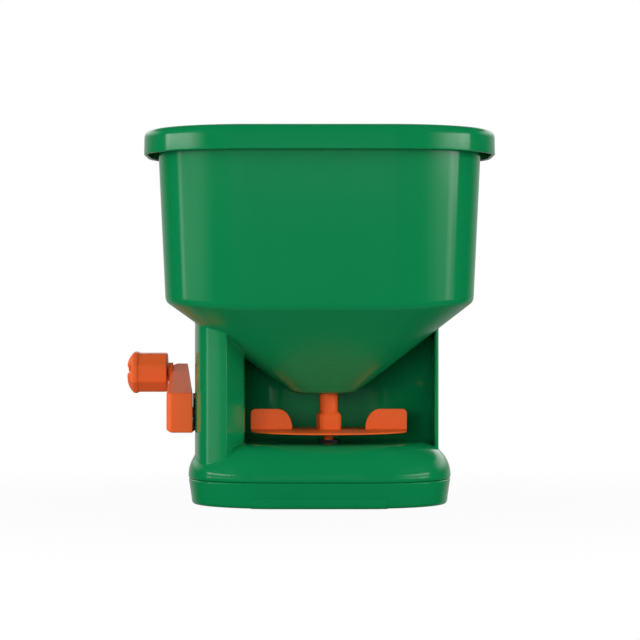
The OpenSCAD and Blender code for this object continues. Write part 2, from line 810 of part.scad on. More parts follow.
module crank_arm() {
    color("orange") difference() {
        union() {
            difference() {
                hull() {
                    arm_slice(arm_outer, 0.5, 3);
                    arm_slice(arm_outer + 3, arm_t - 3, 0);
                }
                // The inner side slopes away from the tower towards the grip
                translate([arm_outer + arm_t, 0, crank_z])
                    rotate([crank_tilt, 0, 0])
                        translate([0, 14, -60])
                            rotate([0, 0, atan2(arm_t - arm_tip_t, crank_r - 8)])
                                cube([30, 100, 120]);
            }
            // Collar that keeps the grip off the arm
            translate([arm_outer - collar_t, grip_y, grip_z])
                rotate([0, 90, 0])
                    cylinder(d = pin_d + 8, h = collar_t + 1);
        }
        // Square drive, screw hole and pin hole
        translate([arm_outer + 4, 0, crank_z])
            translate([0, -square_w / 2 - press_gap, -square_w / 2 - press_gap])
                cube([arm_t, square_w + 2 * press_gap, square_w + 2 * press_gap]);
        translate([arm_outer - 1, 0, crank_z])
            rotate([0, 90, 0])
                cylinder(d = screw_d + 2 * face_gap, h = 10);
        translate([arm_outer - 1, 0, crank_z])
            rotate([0, 90, 0])
                cylinder(d = 8, h = 3.4);
        translate([arm_outer - collar_t - 1, grip_y, grip_z])
            rotate([0, 90, 0])
                cylinder(d = pin_d + 2 * press_gap, h = arm_t + collar_t + 10);
    }
}

module crank_shaft() {
    square_end = -hollow_right - inner_seat - 1 - 0.4;
    color("silver") difference() {
        union() {
            translate([arm_outer + 4.2, -square_w / 2, crank_z - square_w / 2])
                cube([square_end - arm_outer - 4.2, square_w, square_w]);
            translate([arm_inner + 0.05, 0, crank_z])
                rotate([0, 90, 0])
                    cylinder(d = crank_d, h = spur_x - 0.3 - arm_inner);
            translate([square_end - 1, 0, crank_z])
                rotate([0, 90, 0])
                    cylinder(d = inner_journal_d, h = -hollow_right - 0.6 - square_end + 1);
        }
        translate([arm_outer + 3, 0, crank_z])
            rotate([0, 90, 0])
                cylinder(d = screw_d + 2 * press_gap, h = 14);
    }
}

module crank_screw() {
    color("silver") translate([arm_outer + 2.4, 0, crank_z])
        rotate([0, -90, 0])
            screw(screw_d, 13, head_d, 2.2);
}

module crank_clip() {
    color("silver") translate([spur_x + spur_face + face_gap, 0, crank_z])
        rotate([90, 0, 90])
            linear_extrude(1)
                difference() {
                    square(square_w + 5, center = true);
                    square(square_w + 2 * press_gap, center = true);
                }
}

// Half the angle of a gear tooth at a radius: pitch radius, base radius and play
function involute(base_r, r) = tan(acos(base_r / r)) * 180 / PI - acos(base_r / r);
function tooth_half(teeth, pitch_r, r, play) =
    let (base_r = pitch_r * cos(20), from = max(r, base_r))
    90 / teeth - play / 4 / pitch_r * 180 / PI + involute(base_r, pitch_r) - involute(base_r, from);

// Flank radii of a tooth from root to tip
function flank(pitch_r, m) =
    let (base_r = pitch_r * cos(20), root = pitch_r - 1.1 * m, tip_r = pitch_r + 0.8 * m)
    concat([root], [for (i = [0:4]) mix(max(base_r, root + 0.05), tip_r, i / 4)]);

// Outline of a spur gear with a tooth along +X
function spur_outline(teeth, m) = let (pitch_r = teeth * m / 2, f = flank(pitch_r, m))
    [for (k = [0:teeth - 1]) for (i = [0:11])
        let (r = f[i < 6 ? i : 11 - i], side = i < 6 ? -1 : 1)
        let (a = k * 360 / teeth + side * tooth_half(teeth, pitch_r, r, backlash))
        r * [cos(a), sin(a)]];

module crank_gear() {
    web_in = spur_face * 0.3;
    color("ivory") translate([spur_x, 0, crank_z])
        rotate([90, 0, 90])
            difference() {
                linear_extrude(spur_face)
                    difference() {
                        rotate(270)
                            polygon(spur_outline(crank_teeth, spur_m));
                        square(square_w + 2 * press_gap, center = true);
                        for (a = [0:60:300])
                            rotate(a + 30)
                                translate([spur_m * crank_teeth * 0.29, 0])
                                    circle(r = 5.5, $fn = 12);
                    }
                for (z = [-1, spur_face - web_in])
                    translate([0, 0, z])
                        linear_extrude(web_in + 1)
                            difference() {
                                circle(r = spur_m * crank_teeth / 2 - 4.4, $fn = 12);
                                circle(r = 8, $fn = 12);
                            }
            }
}

module layshaft_pinion() {
    color("ivory") translate([spur_x, 0, lay_z])
        rotate([90, 0, 90])
            linear_extrude(spur_face)
                difference() {
                    rotate(90 + 180 / pinion_teeth)
                        polygon(spur_outline(pinion_teeth, spur_m));
                    circle(r = (hex_w / 2 + press_gap) / cos(30), $fn = 6);
                }
}

module layshaft() {
    left_end = lay_left - lay_bush_l - 0.2;
    right_square = lay_right + 0.9;
    color("silver") union() {
        translate([left_end, 0, lay_z])
            rotate([0, 90, 0])
                cylinder(d = lay_journal_d, h = right_square - left_end);
        translate([lay_left + 0.9, 0, lay_z])
            rotate([90, 0, 90])
                cylinder(r = hex_w / 2 / cos(30), h = lay_right - lay_bush_l - 0.3 - lay_left - 0.9, $fn = 6);
        translate([right_square - 1, -drive_w / 2, lay_z - drive_w / 2])
            cube([spin_x - stub_r - 3.6 - right_square + 1, drive_w, drive_w]);
    }
}

module layshaft_clip() {
    color("silver") translate([spur_x + spur_face + face_gap, 0, lay_z])
        rotate([90, 0, 90])
            linear_extrude(1)
                difference() {
                    circle(r = 6, $fn = 12);
                    circle(r = (hex_w / 2 + press_gap) / cos(30), $fn = 6);
                }
}

// A bevel gear with its apex at the origin, opening upwards, and a tooth along +X
module bevel(teeth, mate, m) {
    cone = atan2(teeth, mate);
    pitch_r = teeth * m / 2;
    reach = pitch_r / sin(cone);
    back_r = pitch_r / cos(cone);
    f = flank(back_r, m);
    per = 12;
    n = teeth * per;
    small = (reach - bevel_face) / reach;
    function turn(k, i) = let (j = i < 6 ? i : 11 - i, side = i < 6 ? -1 : 1)
        k * 360 / teeth + side * tooth_half(teeth / cos(cone), back_r, f[j], backlash) / cos(cone);
    function place(k, i) = let (j = i < 6 ? i : 11 - i, r = f[j] * cos(cone), a = turn(k, i))
        [r * cos(a), r * sin(a), reach / cos(cone) - f[j] * sin(cone)];
    large_ring = [for (k = [0:teeth - 1]) for (i = [0:per - 1]) place(k, i)];
    small_ring = large_ring * small;
    root_z = reach / cos(cone) - f[0] * sin(cone);
    polyhedron(
        points = concat(small_ring, large_ring, [[0, 0, root_z * small], [0, 0, root_z]]),
        faces = concat(
            [for (j = [0:n - 1]) let (k = (j + 1) % n) each [
                [j, n + j, n + k], [j, n + k, k],
                [2 * n, j, k], [2 * n + 1, n + k, n + j]]]));
}

bevel_cone_lay = atan2(lay_bevel_teeth, spin_bevel_teeth);
lay_pitch = lay_bevel_teeth * bevel_m / 2;
spin_pitch = spin_bevel_teeth * bevel_m / 2;

module layshaft_bevel() {
    back = spin_pitch + 1.1 * bevel_m * sin(bevel_cone_lay);
    hub_end = spin_x - lay_right - 1.2;
    color("ivory") translate([spin_x, 0, lay_z])
        rotate([0, -90, 0])
            difference() {
                union() {
                    bevel(lay_bevel_teeth, spin_bevel_teeth, bevel_m);
                    translate([0, 0, back - 0.5])
                        cylinder(r = 6.4, h = hub_end - back + 0.5, $fn = 12);
                }
                translate([-drive_w / 2 - press_gap, -drive_w / 2 - press_gap, -1])
                    cube([drive_w + 2 * press_gap, drive_w + 2 * press_gap, 30]);
            }
}

module spinner_bevel() {
    back = lay_pitch + 1.1 * bevel_m * cos(bevel_cone_lay);
    hub_end = deck_bush_z - face_gap - lay_z;
    color("ivory") translate([spin_x, 0, lay_z])
        difference() {
            union() {
                rotate([0, 0, 180 + 180 / spin_bevel_teeth])
                    bevel(spin_bevel_teeth, lay_bevel_teeth, bevel_m);
                translate([0, 0, back - 0.5])
                    cylinder(r = 5.4, h = hub_end - back + 0.5, $fn = 12);
            }
            translate([-drive_w / 2 - press_gap, -drive_w / 2 - press_gap, -1])
                cube([drive_w + 2 * press_gap, drive_w + 2 * press_gap, 40]);
        }
}

module grip_pin() {
    color("silver") translate([grip_x - grip_l + 5.4, grip_y, grip_z])
        rotate([0, 90, 0])
            union() {
                cylinder(d = pin_d, h = grip_l - 5.4 + 0.6 + collar_t + arm_tip_t - 1);
                translate([0, 0, -2])
                    cylinder(d = pin_d * 1.7, h = 2);
            }
}

module crank_grip() {
    flat_r = grip_w / 2 / cos(22.5);
    color("orange") translate([grip_x, grip_y, grip_z])
        rotate([0, -90, 0])
            difference() {
                union() {
                    rotate(22.5)
                        cylinder(r = flat_r, h = grip_l - 5, $fn = 8);
                    translate([0, 0, grip_l - 7])
                        rotate(22.5)
                            cylinder(r1 = flat_r - 0.2, r2 = flat_r + 0.9, h = 3, $fn = 8);
                    translate([0, 0, grip_l - 4])
                        rotate(22.5)
                            cylinder(r1 = flat_r + 0.9, r2 = flat_r - 1.6, h = 4, $fn = 8);
                }
                translate([0, 0, -1])
                    cylinder(d = pin_d + 2 * run_gap, h = grip_l + 2);
                translate([0, 0, grip_l - 5.4 - face_gap])
                    cylinder(r = 8, h = 20);
            }
}

module grip_cap() {
    color("orange") translate([grip_x - grip_l + 3, grip_y, grip_z])
        rotate([0, -90, 0])
            cylinder(r = 8 - press_gap, h = 2.6);
}

// Outline of a vane in its own plane, from the axis outwards and up
vane_outline = concat(
    [[vane_in, 0]],
    [[disc_r, 0]],
    arc([disc_r - 3, vane_h - 3], 3, 0, 90, 5),
    [for (a = [90:-10:10]) [vane_in + vane_rise * (1 - cos(a)), vane_h * sin(a)]]);

module spinner() {
    color("orange") translate([spin_x, 0, disc_z])
        difference() {
            union() {
                cylinder(r = disc_r, h = disc_t);
                for (a = [0, 180])
                    rotate([0, 0, a])
                        translate([0, vane_t / 2, disc_t - 0.01])
                            rotate([90, 0, 0])
                                linear_extrude(vane_t)
                                    polygon(vane_outline);
                rotate(12.7)
                    translate([-hub_w / 2, -hub_w / 2, 0])
                        cube([hub_w, hub_w, hub_z - disc_z - 2]);
                translate([0, 0, hub_z - disc_z - 2.01])
                    cylinder(r = sleeve_r + 0.7, h = 2);
            }
            translate([0, 0, -1])
                cylinder(r = stub_r + press_gap, h = 20);
            translate([0, 0, socket_z - disc_z])
                cylinder(r = sleeve_r + press_gap, h = 20);
        }
}

agitator_z = bush_top + face_gap;
agitator_h = 8.4;
agitator_tip = 13;

module spinner_shaft() {
    color("orange") translate([spin_x, 0, 0])
        difference() {
            union() {
                translate([-drive_w / 2, -drive_w / 2, lay_z + lay_pitch - 4])
                    cube([drive_w, drive_w, 10]);
                translate([0, 0, deck_bush_z - face_gap])
                    cylinder(r = stub_r, h = socket_z - deck_bush_z + face_gap + 1);
                translate([0, 0, socket_z + 0.05])
                    cylinder(r = sleeve_r, h = agitator_z - socket_z - 0.05);
                translate([-square_w / 2, -square_w / 2, agitator_z - 1])
                    cube([square_w, square_w, 9]);
            }
            translate([0, 0, agitator_z - 2])
                cylinder(d = 3 + 2 * press_gap, h = 12);
        }
}

module agitator() {
    color("orange") translate([spin_x, 0, agitator_z])
        difference() {
            union() {
                cylinder(r = floor_bush_r + 0.6, h = agitator_h);
                for (a = [20, 200])
                    rotate(a) {
                        translate([0, -2, 2])
                            cube([agitator_r, 4, 4]);
                        translate([agitator_r - 4, -2, 2])
                            cube([4, 4, agitator_tip]);
                    }
            }
            translate([-square_w / 2 - press_gap, -square_w / 2 - press_gap, -1])
                cube([square_w + 2 * press_gap, square_w + 2 * press_gap, 12]);
        }
}

module agitator_screw() {
    color("silver") translate([spin_x, 0, agitator_z + agitator_h])
        screw(3, 9, 11, 1.6);
}

module gate_plate() {
    color("orange") translate([spin_x, 0, gate_z])
        linear_extrude(gate_t)
            difference() {
                union() {
                    circle(r = gate_r);
                    rotate(lever_angle)
                        translate([gate_r - 3, -lever_w / 2])
                            square([knob_r - gate_r + 5, lever_w]);
                }
                circle(r = floor_bush_r + run_gap);
                port_outline(port_turn + gate_swing);
            }
}

module gate_knob() {
    slot_w = lever_w + 2 * press_gap;
    knob_l = 12;
    color("orange") translate([spin_x, 0, gate_z + gate_t / 2])
        rotate([0, 0, lever_angle])
            difference() {
                translate([knob_r - knob_l / 2, -lever_w, -lever_w])
                    cube([knob_l, 2 * lever_w, 2 * lever_w]);
                translate([knob_r - 7, -slot_w / 2, -gate_t / 2 - press_gap])
                    cube([9, slot_w, gate_t + 2 * press_gap]);
            }
}

hopper();
housing();
base_pan();
outlet_cover();
handle_left();
handle_right();
crank_bush();
crank_inner_bush();
deck_bush();
floor_bush();
layshaft_bush_left();
layshaft_bush_right();
base_screws();
hopper_screws();
outlet_screws();
handle_screws();
handle_clamp_screws();
crank_arm();
crank_shaft();
crank_gear();
crank_screw();
crank_clip();
grip_pin();
crank_grip();
grip_cap();
layshaft();
layshaft_pinion();
layshaft_bevel();
layshaft_clip();
spinner();
spinner_shaft();
spinner_bevel();
agitator();
agitator_screw();
gate_plate();
gate_knob();
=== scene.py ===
"""Looks of the hand crank spreader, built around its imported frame.

Meshes are drawn in millimetres in the frame's axes (X to the viewer's right, Y to the back, Z up)
and become metres when they turn into objects.
"""

from __future__ import annotations

import json
import logging
import math
from collections.abc import Callable, Sequence
from dataclasses import astuple, dataclass, replace
from enum import Enum
from typing import Union

import bmesh
import bpy
from mathutils import Matrix, Vector
from mathutils.geometry import tessellate_polygon

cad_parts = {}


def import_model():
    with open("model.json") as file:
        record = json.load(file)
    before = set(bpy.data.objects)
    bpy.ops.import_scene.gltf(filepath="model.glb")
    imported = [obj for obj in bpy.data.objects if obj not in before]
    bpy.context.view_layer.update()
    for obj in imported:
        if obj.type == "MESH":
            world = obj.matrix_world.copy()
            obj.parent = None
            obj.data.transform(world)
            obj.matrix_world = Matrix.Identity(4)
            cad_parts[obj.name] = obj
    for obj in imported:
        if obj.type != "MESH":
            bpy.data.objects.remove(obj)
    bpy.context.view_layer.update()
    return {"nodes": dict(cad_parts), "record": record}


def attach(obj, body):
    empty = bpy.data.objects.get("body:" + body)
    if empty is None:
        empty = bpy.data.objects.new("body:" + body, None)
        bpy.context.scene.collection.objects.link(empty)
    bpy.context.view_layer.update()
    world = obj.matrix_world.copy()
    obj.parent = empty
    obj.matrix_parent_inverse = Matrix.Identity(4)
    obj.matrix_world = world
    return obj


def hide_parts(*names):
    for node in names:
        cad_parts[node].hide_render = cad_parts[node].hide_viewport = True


Pair = tuple[float, float]
Triple = tuple[float, float, float]
Quad = tuple[float, float, float, float]
Term = Union["Wire", float, tuple]

LOG = logging.getLogger("spreader")
MM = 0.001
CORNER_STEPS = 36
SCUFFED = (0.62, 0.66, 0.6, 1.0)

# Places that several sub-assemblies share, in millimetres
SPIN_X = 6.0
CRANK_Z = 59.0
SCREW_POCKET_R = 4.0
BASE_SEATS = ((-28, -40, 4), (-26, 38, 4), (52, -34, 4), (52, 34, 4))
OUTLET_SEATS = ((-11.6, -9.2, 73.1), (-11.6, 9.2, 73.1))
CLAMP_SEATS = ((9, 120, 126), (9, 120, 61))


class Slot(Enum):
    """The record's material slots."""

    GREEN = "green_plastic"
    ORANGE = "orange_plastic"
    STEEL = "steel"
    NYLON = "gear_nylon"
    ACETAL = "bush_plastic"


class Wire:
    """A node's output, which adds Math nodes when it is used in a sum."""

    def __init__(self, bench: Bench, socket: bpy.types.NodeSocket) -> None:
        """Keeps the socket and the bench that it is on."""
        self.bench = bench
        self.socket = socket

    def _math(self, operation: str, first: Term, second: Term) -> Wire:
        """Adds one Math node."""
        return self.bench.node("ShaderNodeMath", {"operation": operation}, {0: first, 1: second})

    def __add__(self, other: Term) -> Wire:
        """Sum."""
        return self._math("ADD", self, other)

    __radd__ = __add__

    def __rsub__(self, other: Term) -> Wire:
        """Difference from a number."""
        return self._math("SUBTRACT", other, self)

    def __mul__(self, other: Term) -> Wire:
        """Product."""
        return self._math("MULTIPLY", self, other)

    def step(self, low: float, high: float) -> Wire:
        """A smooth rise from 0 at low to 1 at high."""
        limits = {"Value": self, "From Min": low, "From Max": high}
        return self.bench.node("ShaderNodeMapRange", {"interpolation_type": "SMOOTHSTEP"}, limits)

    def window(self, start: float, full: float, fade: float, end: float) -> Wire:
        """A smooth rise from 0 at start to 1 at full, then a smooth fall from fade to 0 at end."""
        return self.step(start, full) * (1 - self.step(fade, end))


class Bench:
    """A node tree and the methods that add nodes to it."""

    def __init__(self, tree: bpy.types.NodeTree) -> None:
        """Starts from an empty tree."""
        self.tree = tree
        tree.nodes.clear()

    def node(
        self,
        kind: str,
        settings: dict[str, object] | None = None,
        inputs: dict[str | int, Term] | None = None,
        output: str | int = 0,
    ) -> Wire:
        """Adds a node.

        Args:
            kind: the node's type name.
            settings: its properties, set first.
            inputs: values or wires by socket name or number; a list of wires fills a joining socket.
            output: the output to hand back.

        Returns:
            The chosen output, or the first input of a node without outputs.
        """
        node = self.tree.nodes.new(kind)
        for name, value in (settings or {}).items():
            setattr(node, name, value)
        for key, value in (inputs or {}).items():
            for entry in value if isinstance(value, list) else [value]:
                if isinstance(entry, Wire):
                    self.tree.links.new(entry.socket, node.inputs[key])
                else:
                    node.inputs[key].default_value = entry
        return Wire(self, node.outputs[output] if node.outputs else node.inputs[0])

    def noise(self, place: Wire, scale: float, detail: float) -> Wire:
        """A noise value between about 0 and 1 at a scale per metre."""
        return self.node("ShaderNodeTexNoise", inputs={"Vector": place, "Scale": scale, "Detail": detail})

    def blend(self, share: Term, first: Term, second: Term) -> Wire:
        """A colour between two colours, by the numbers of the Mix node's colour sockets."""
        return self.node("ShaderNodeMix", {"data_type": "RGBA"}, {0: share, 6: first, 7: second}, 2)

    def stretched(self, place: Wire, scale: Triple) -> Wire:
        """Coordinates scaled by a different factor on each axis."""
        return self.node("ShaderNodeMapping", inputs={"Vector": place, "Scale": scale})

    def principled(self, inputs: dict[str, Term]) -> None:
        """Joins a Principled shader to the material's output."""
        shader = self.node("ShaderNodeBsdfPrincipled", inputs=inputs)
        self.node("ShaderNodeOutputMaterial", inputs={"Surface": shader})


def blank_material(name: str) -> tuple[bpy.types.Material, Bench, Wire]:
    """Starts a material.

    Args:
        name: its name.

    Returns:
        The material, its bench and the piece's own coordinates.
    """
    material = bpy.data.materials.new(name)
    material.use_nodes = True
    bench = Bench(material.node_tree)
    return material, bench, bench.node("ShaderNodeTexCoord", output="Object")


def shaded(colour: Triple, factor: float) -> Quad:
    """A colour made lighter or darker, with full alpha."""
    return (*(min(1.0, c * factor) for c in colour), 1.0)


@dataclass(frozen=True)
class Finish:
    """The base of a finish.

    Args:
        slot: the record's slot that it dresses.
        colour: plain colour in linear values.
        roughness: middle roughness.
        grain: height of the surface grain in metres.
    """

    slot: Slot
    colour: Triple
    roughness: float
    grain: float


@dataclass(frozen=True)
class MouldedPlastic(Finish):
    """Injection-moulded plastic: fine grain, faint waves, drifting tone and hair scratches.

    Args:
        wave: height of the faint waves in metres.
        drift: how far the tone wanders to each side.
        scuff: share of the pale colour in a scratch.
        matte_under: roughness added to faces that look down.
    """

    wave: float = 0.00003
    drift: float = 0.03
    scuff: float = 0.012
    matte_under: float = 0.0

    def make(self) -> bpy.types.Material:
        """Builds the material."""
        material, bench, place = blank_material(self.slot.value)
        cloud = bench.noise(place, scale=15, detail=3)
        grain = bench.noise(place, scale=1500, detail=2)
        wave = bench.noise(place, scale=26, detail=1)
        flow = bench.noise(bench.stretched(place, (1, 1, 0.15)), scale=90, detail=2)
        hair = bench.noise(bench.stretched(place, (70, 70, 1500)), scale=1, detail=3)
        scratch = hair.step(0.68, 0.76)
        dark, light = (shaded(self.colour, 1 + way * self.drift) for way in (-1, 1))
        colour = bench.blend(cloud * 0.7 + flow * 0.3, dark, light)
        worn = bench.blend(scratch * self.scuff, colour, SCUFFED)
        facing = bench.node("ShaderNodeTexCoord", output="Normal")
        lift = bench.node("ShaderNodeSeparateXYZ", inputs={0: facing}, output="Z")
        under = 1 - lift.step(-0.5, -0.25)
        rough = self.roughness - 0.02 + cloud * 0.04 + scratch * 0.05 + under * self.matte_under
        waves = bench.node("ShaderNodeBump", inputs={"Distance": self.wave, "Height": wave})
        bump = bench.node("ShaderNodeBump", inputs={"Distance": self.grain, "Height": grain, "Normal": waves})
        bench.principled({"Base Color": worn, "Roughness": rough, "Normal": bump})
        return material


@dataclass(frozen=True)
class PlatedSteel(Finish):
    """Zinc-plated steel with fine turning lines and cloudy tone."""

    def make(self) -> bpy.types.Material:
        """Builds the material."""
        material, bench, place = blank_material(self.slot.value)
        cloud = bench.noise(place, scale=160, detail=3)
        lines = bench.noise(bench.stretched(place, (300, 300, 4000)), scale=1, detail=2)
        colour = bench.blend(cloud, shaded(self.colour, 0.86), shaded(self.colour, 1.1))
        bump = bench.node("ShaderNodeBump", inputs={"Distance": self.grain, "Height": lines})
        rough = self.roughness - 0.06 + cloud * 0.08 + lines * 0.06
        bench.principled({"Base Color": colour, "Metallic": 1.0, "Roughness": rough, "Normal": bump})
        return material


FINISHES = (
    MouldedPlastic(Slot.GREEN, (0.003, 0.205, 0.064), roughness=0.11, grain=0.0000015, matte_under=0.17),
    MouldedPlastic(Slot.ORANGE, (0.82, 0.118, 0.018), roughness=0.4, grain=0.000004),
    MouldedPlastic(Slot.NYLON, (0.78, 0.75, 0.66), roughness=0.5, grain=0.00001),
    MouldedPlastic(Slot.ACETAL, (0.022, 0.022, 0.023), roughness=0.4, grain=0.00001, drift=0.2),
    PlatedSteel(Slot.STEEL, (0.6, 0.59, 0.56), roughness=0.36, grain=0.00001),
)


@dataclass(frozen=True)
class Ring:
    """A rounded rectangle at a height, in millimetres, whose front may hang a little lower."""

    half_w: float
    half_d: float
    corner: float
    mid_x: float
    z: float
    dip: float = 0.0

    def grown(self, by: float) -> Ring:
        """The same outline moved out by a distance."""
        return replace(self, half_w=self.half_w + by, half_d=self.half_d + by, corner=self.corner + by)

    def at(self, z: float) -> Ring:
        """The same outline at another height."""
        return replace(self, z=z)

    def mixed(self, other: Ring, share: float) -> Ring:
        """An outline part of the way to another."""
        return Ring(*(a + (b - a) * share for a, b in zip(astuple(self), astuple(other))))

    def level(self, other: Ring, z: float) -> Ring:
        """The outline at a height on the straight line to another."""
        return self.mixed(other, (z - self.z) / (other.z - self.z))

    def points(self) -> list[Vector]:
        """The outline's points, anticlockwise from above."""
        loop = []
        for quarter, (sx, sy) in enumerate(((1, -1), (1, 1), (-1, 1), (-1, -1))):
            middle = Vector((self.mid_x + sx * (self.half_w - self.corner), sy * (self.half_d - self.corner)))
            for p in arc(middle, self.corner, quarter * 90 - 90, quarter * 90, CORNER_STEPS):
                loop.append(Vector((p.x, p.y, self.height(p.y))))
        return loop

    def height(self, y: float) -> float:
        """Height of the outline at a depth."""
        return self.z - self.dip * (max(0.0, -y) / self.half_d) ** 3

    def distance(self, x: float, y: float) -> float:
        """Distance of a place outside the outline, negative inside."""
        dx = abs(x - self.mid_x) - self.half_w + self.corner
        dy = abs(y) - self.half_d + self.corner
        return math.hypot(max(dx, 0), max(dy, 0)) + min(max(dx, dy), 0) - self.corner

    def side(self, x: float) -> float:
        """Half the outline's depth at a sideways place."""
        past = max(abs(x - self.mid_x) - self.half_w + self.corner, 0)
        return self.half_d - self.corner + math.sqrt(max(self.corner**2 - past**2, 0))


GIRTH = Ring(half_w=85.0, half_d=60.0, corner=58.0, mid_x=0.0, z=18.9)


def arc(middle: Vector, radius: float, start: float, end: float, steps: int) -> list[Vector]:
    """Points of an arc between two angles in degrees."""
    turns = [math.radians(start + (end - start) * i / steps) for i in range(steps + 1)]
    return [middle + radius * Vector((math.cos(t), math.sin(t))) for t in turns]


def eased(first: Ring, corner: Ring, last: Ring, steps: int) -> list[Ring]:
    """Outlines along a curve that rounds a corner between two outlines."""
    shares = [i / steps for i in range(steps + 1)]
    return [first.mixed(corner, t).mixed(corner.mixed(last, t), t) for t in shares]


def softened(path: list[Vector], index: int, cut: float, steps: int) -> list[Vector]:
    """Rounds one corner of a closed path.

    Args:
        path: the path's points.
        index: the corner's number.
        cut: distance from the corner where the curve starts and ends.
        steps: parts of the curve.

    Returns:
        The new path.
    """
    corner = path[index]
    sides = (path[index - 1], path[(index + 1) % len(path)])
    start, end = (corner + (p - corner).normalized() * cut for p in sides)
    shares = [i / steps for i in range(steps + 1)]
    curve = [start.lerp(corner, t).lerp(corner.lerp(end, t), t) for t in shares]
    return path[:index] + curve + path[index + 1 :]


def dense(path: list[Vector], longest: float) -> list[Vector]:
    """Divides the long sides of a closed path.

    Args:
        path: the path's points.
        longest: length that no side of the new path is over.

    Returns:
        The new path.
    """
    points = []
    for here, there in zip(path, path[1:] + path[:1]):
        parts = max(1, math.ceil((there - here).length / longest))
        points.extend(here.lerp(there, i / parts) for i in range(parts))
    return points


def spread(path: list[Vector], by: float) -> list[Vector]:
    """An anticlockwise closed path moved out by a distance."""
    ways = [(after - path[i - 1]).normalized() for i, after in enumerate(path[1:] + path[:1])]
    return [p + Vector((w.y, -w.x)) * by for p, w in zip(path, ways)]


def lifted(path: list[Vector], height: Callable[[float, float], float], by: float) -> list[Vector]:
    """A flat path set above a surface by a distance."""
    return [Vector((p.x, p.y, height(p.x, p.y) + by)) for p in path]


def linked(name: str, data: bpy.types.ID) -> bpy.types.Object:
    """A new object in the scene."""
    made = bpy.data.objects.new(name, data)
    bpy.context.scene.collection.objects.link(made)
    return made


class Form:
    """A mesh in the making, in millimetres."""

    def __init__(self) -> None:
        """Starts with no faces."""
        self.bm = bmesh.new()

    def skin(self, loops: Sequence[Sequence[Vector]], capped: bool) -> list[list[bmesh.types.BMVert]]:
        """Faces between loops that have the same number of points.

        Args:
            loops: closed loops in order.
            capped: whether the first and last loops are filled.

        Returns:
            The loops' vertices.
        """
        rows = [[self.bm.verts.new(p) for p in loop] for loop in loops]
        count = len(rows[0])
        for low, high in zip(rows, rows[1:]):
            for j in range(count):
                k = (j + 1) % count
                self.bm.faces.new((low[j], low[k], high[k], high[j]))
        if capped:
            self.bm.faces.new(rows[0][::-1])
            self.bm.faces.new(rows[-1])
        return rows

    def solid(self, loops: Sequence[Sequence[Vector]]) -> Form:
        """A closed skin through loops."""
        self.skin(loops, capped=True)
        return self

    def loft(self, rings: Sequence[Ring]) -> Form:
        """A closed skin through rounded rectangles."""
        return self.solid([ring.points() for ring in rings])

    def turned(self, profile: Sequence[Pair], steps: int) -> Form:
        """A closed solid turned about Z from (radius, height) points, bottom to top."""
        turns = [math.tau * i / steps for i in range(steps)]
        loops = [[Vector((r * math.cos(t), r * math.sin(t), z)) for t in turns] for r, z in profile]
        return self.solid(loops)

    def plate(self, outline: Sequence[Vector], low: float, high: float) -> Form:
        """A flat outline made solid between two heights."""
        return self.solid([[Vector((p.x, p.y, z)) for p in outline] for z in (low, high)])

    def block(self, low: Sequence[float], high: Sequence[float]) -> Form:
        """A box between two corners."""
        corners = [(low[0], low[1]), (high[0], low[1]), (high[0], high[1]), (low[0], high[1])]
        return self.plate([Vector(c) for c in corners], low[2], high[2])

    def bevel(self, width: float, segments: int = 3, sharper: float = 25) -> Form:
        """Rounds edges.

        Args:
            width: how far the rounding reaches from an edge.
            segments: how many faces it has.
            sharper: edges that turn by more than this many degrees are rounded.

        Returns:
            The form itself.
        """
        self.bm.normal_update()
        limit = math.radians(sharper)
        edges = [e for e in self.bm.edges if e.is_manifold and e.calc_face_angle(0) > limit]
        shape = {"offset": width, "segments": segments, "profile": 0.5, "clamp_overlap": True}
        bmesh.ops.bevel(self.bm, geom=edges, affect="EDGES", **shape)
        return self

    def moved(self, matrix: Matrix) -> Form:
        """Places the form."""
        bmesh.ops.transform(self.bm, matrix=matrix, verts=self.bm.verts)
        return self

    def closed(self, name: str) -> bpy.types.Object:
        """Turns the form into an object as it is."""
        mesh = bpy.data.meshes.new(name)
        self.bm.to_mesh(mesh)
        self.bm.free()
        return linked(name, mesh)

    def object(self, name: str) -> bpy.types.Object:
        """Cleans the form and turns it into an object in metres."""
        bmesh.ops.remove_doubles(self.bm, verts=self.bm.verts, dist=0.0005)
        bmesh.ops.recalc_face_normals(self.bm, faces=self.bm.faces)
        bmesh.ops.scale(self.bm, vec=(MM, MM, MM), verts=self.bm.verts)
        return self.closed(name)


def baked(piece: bpy.types.Object) -> bpy.types.Object:
    """Turns an object's modifiers into a plain mesh."""
    bpy.context.view_layer.update()
    evaluated = piece.evaluated_get(bpy.context.evaluated_depsgraph_get())
    mesh = bpy.data.meshes.new_from_object(evaluated)
    piece.modifiers.clear()
    piece.data = mesh
    return piece


def carved(piece: bpy.types.Object, *cutters: bpy.types.Object) -> bpy.types.Object:
    """Cuts other objects out of a piece.

    Args:
        piece: the piece.
        cutters: what is cut out, deleted afterwards.

    Returns:
        The piece.
    """
    for cutter in cutters:
        cut = piece.modifiers.new("cut", "BOOLEAN")
        cut.operation = "DIFFERENCE"
        cut.solver = "EXACT"
        cut.object = cutter
    baked(piece)
    for cutter in cutters:
        bpy.data.objects.remove(cutter)
    return piece


def joined(name: str, *pieces: bpy.types.Object) -> bpy.types.Object:
    """Makes one object from several.

    Args:
        name: the new object's name.
        pieces: the objects, deleted afterwards.

    Returns:
        The new object.
    """
    form = Form()
    for piece in pieces:
        form.bm.from_mesh(piece.data)
        bpy.data.objects.remove(piece)
    return form.closed(name)


def sideways(x: float, y: float, z: float) -> Matrix:
    """A placing that lays Z along X and then moves to a place."""
    return Matrix(((0, 0, 1, x), (1, 0, 0, y), (0, 1, 0, z), (0, 0, 0, 1)))


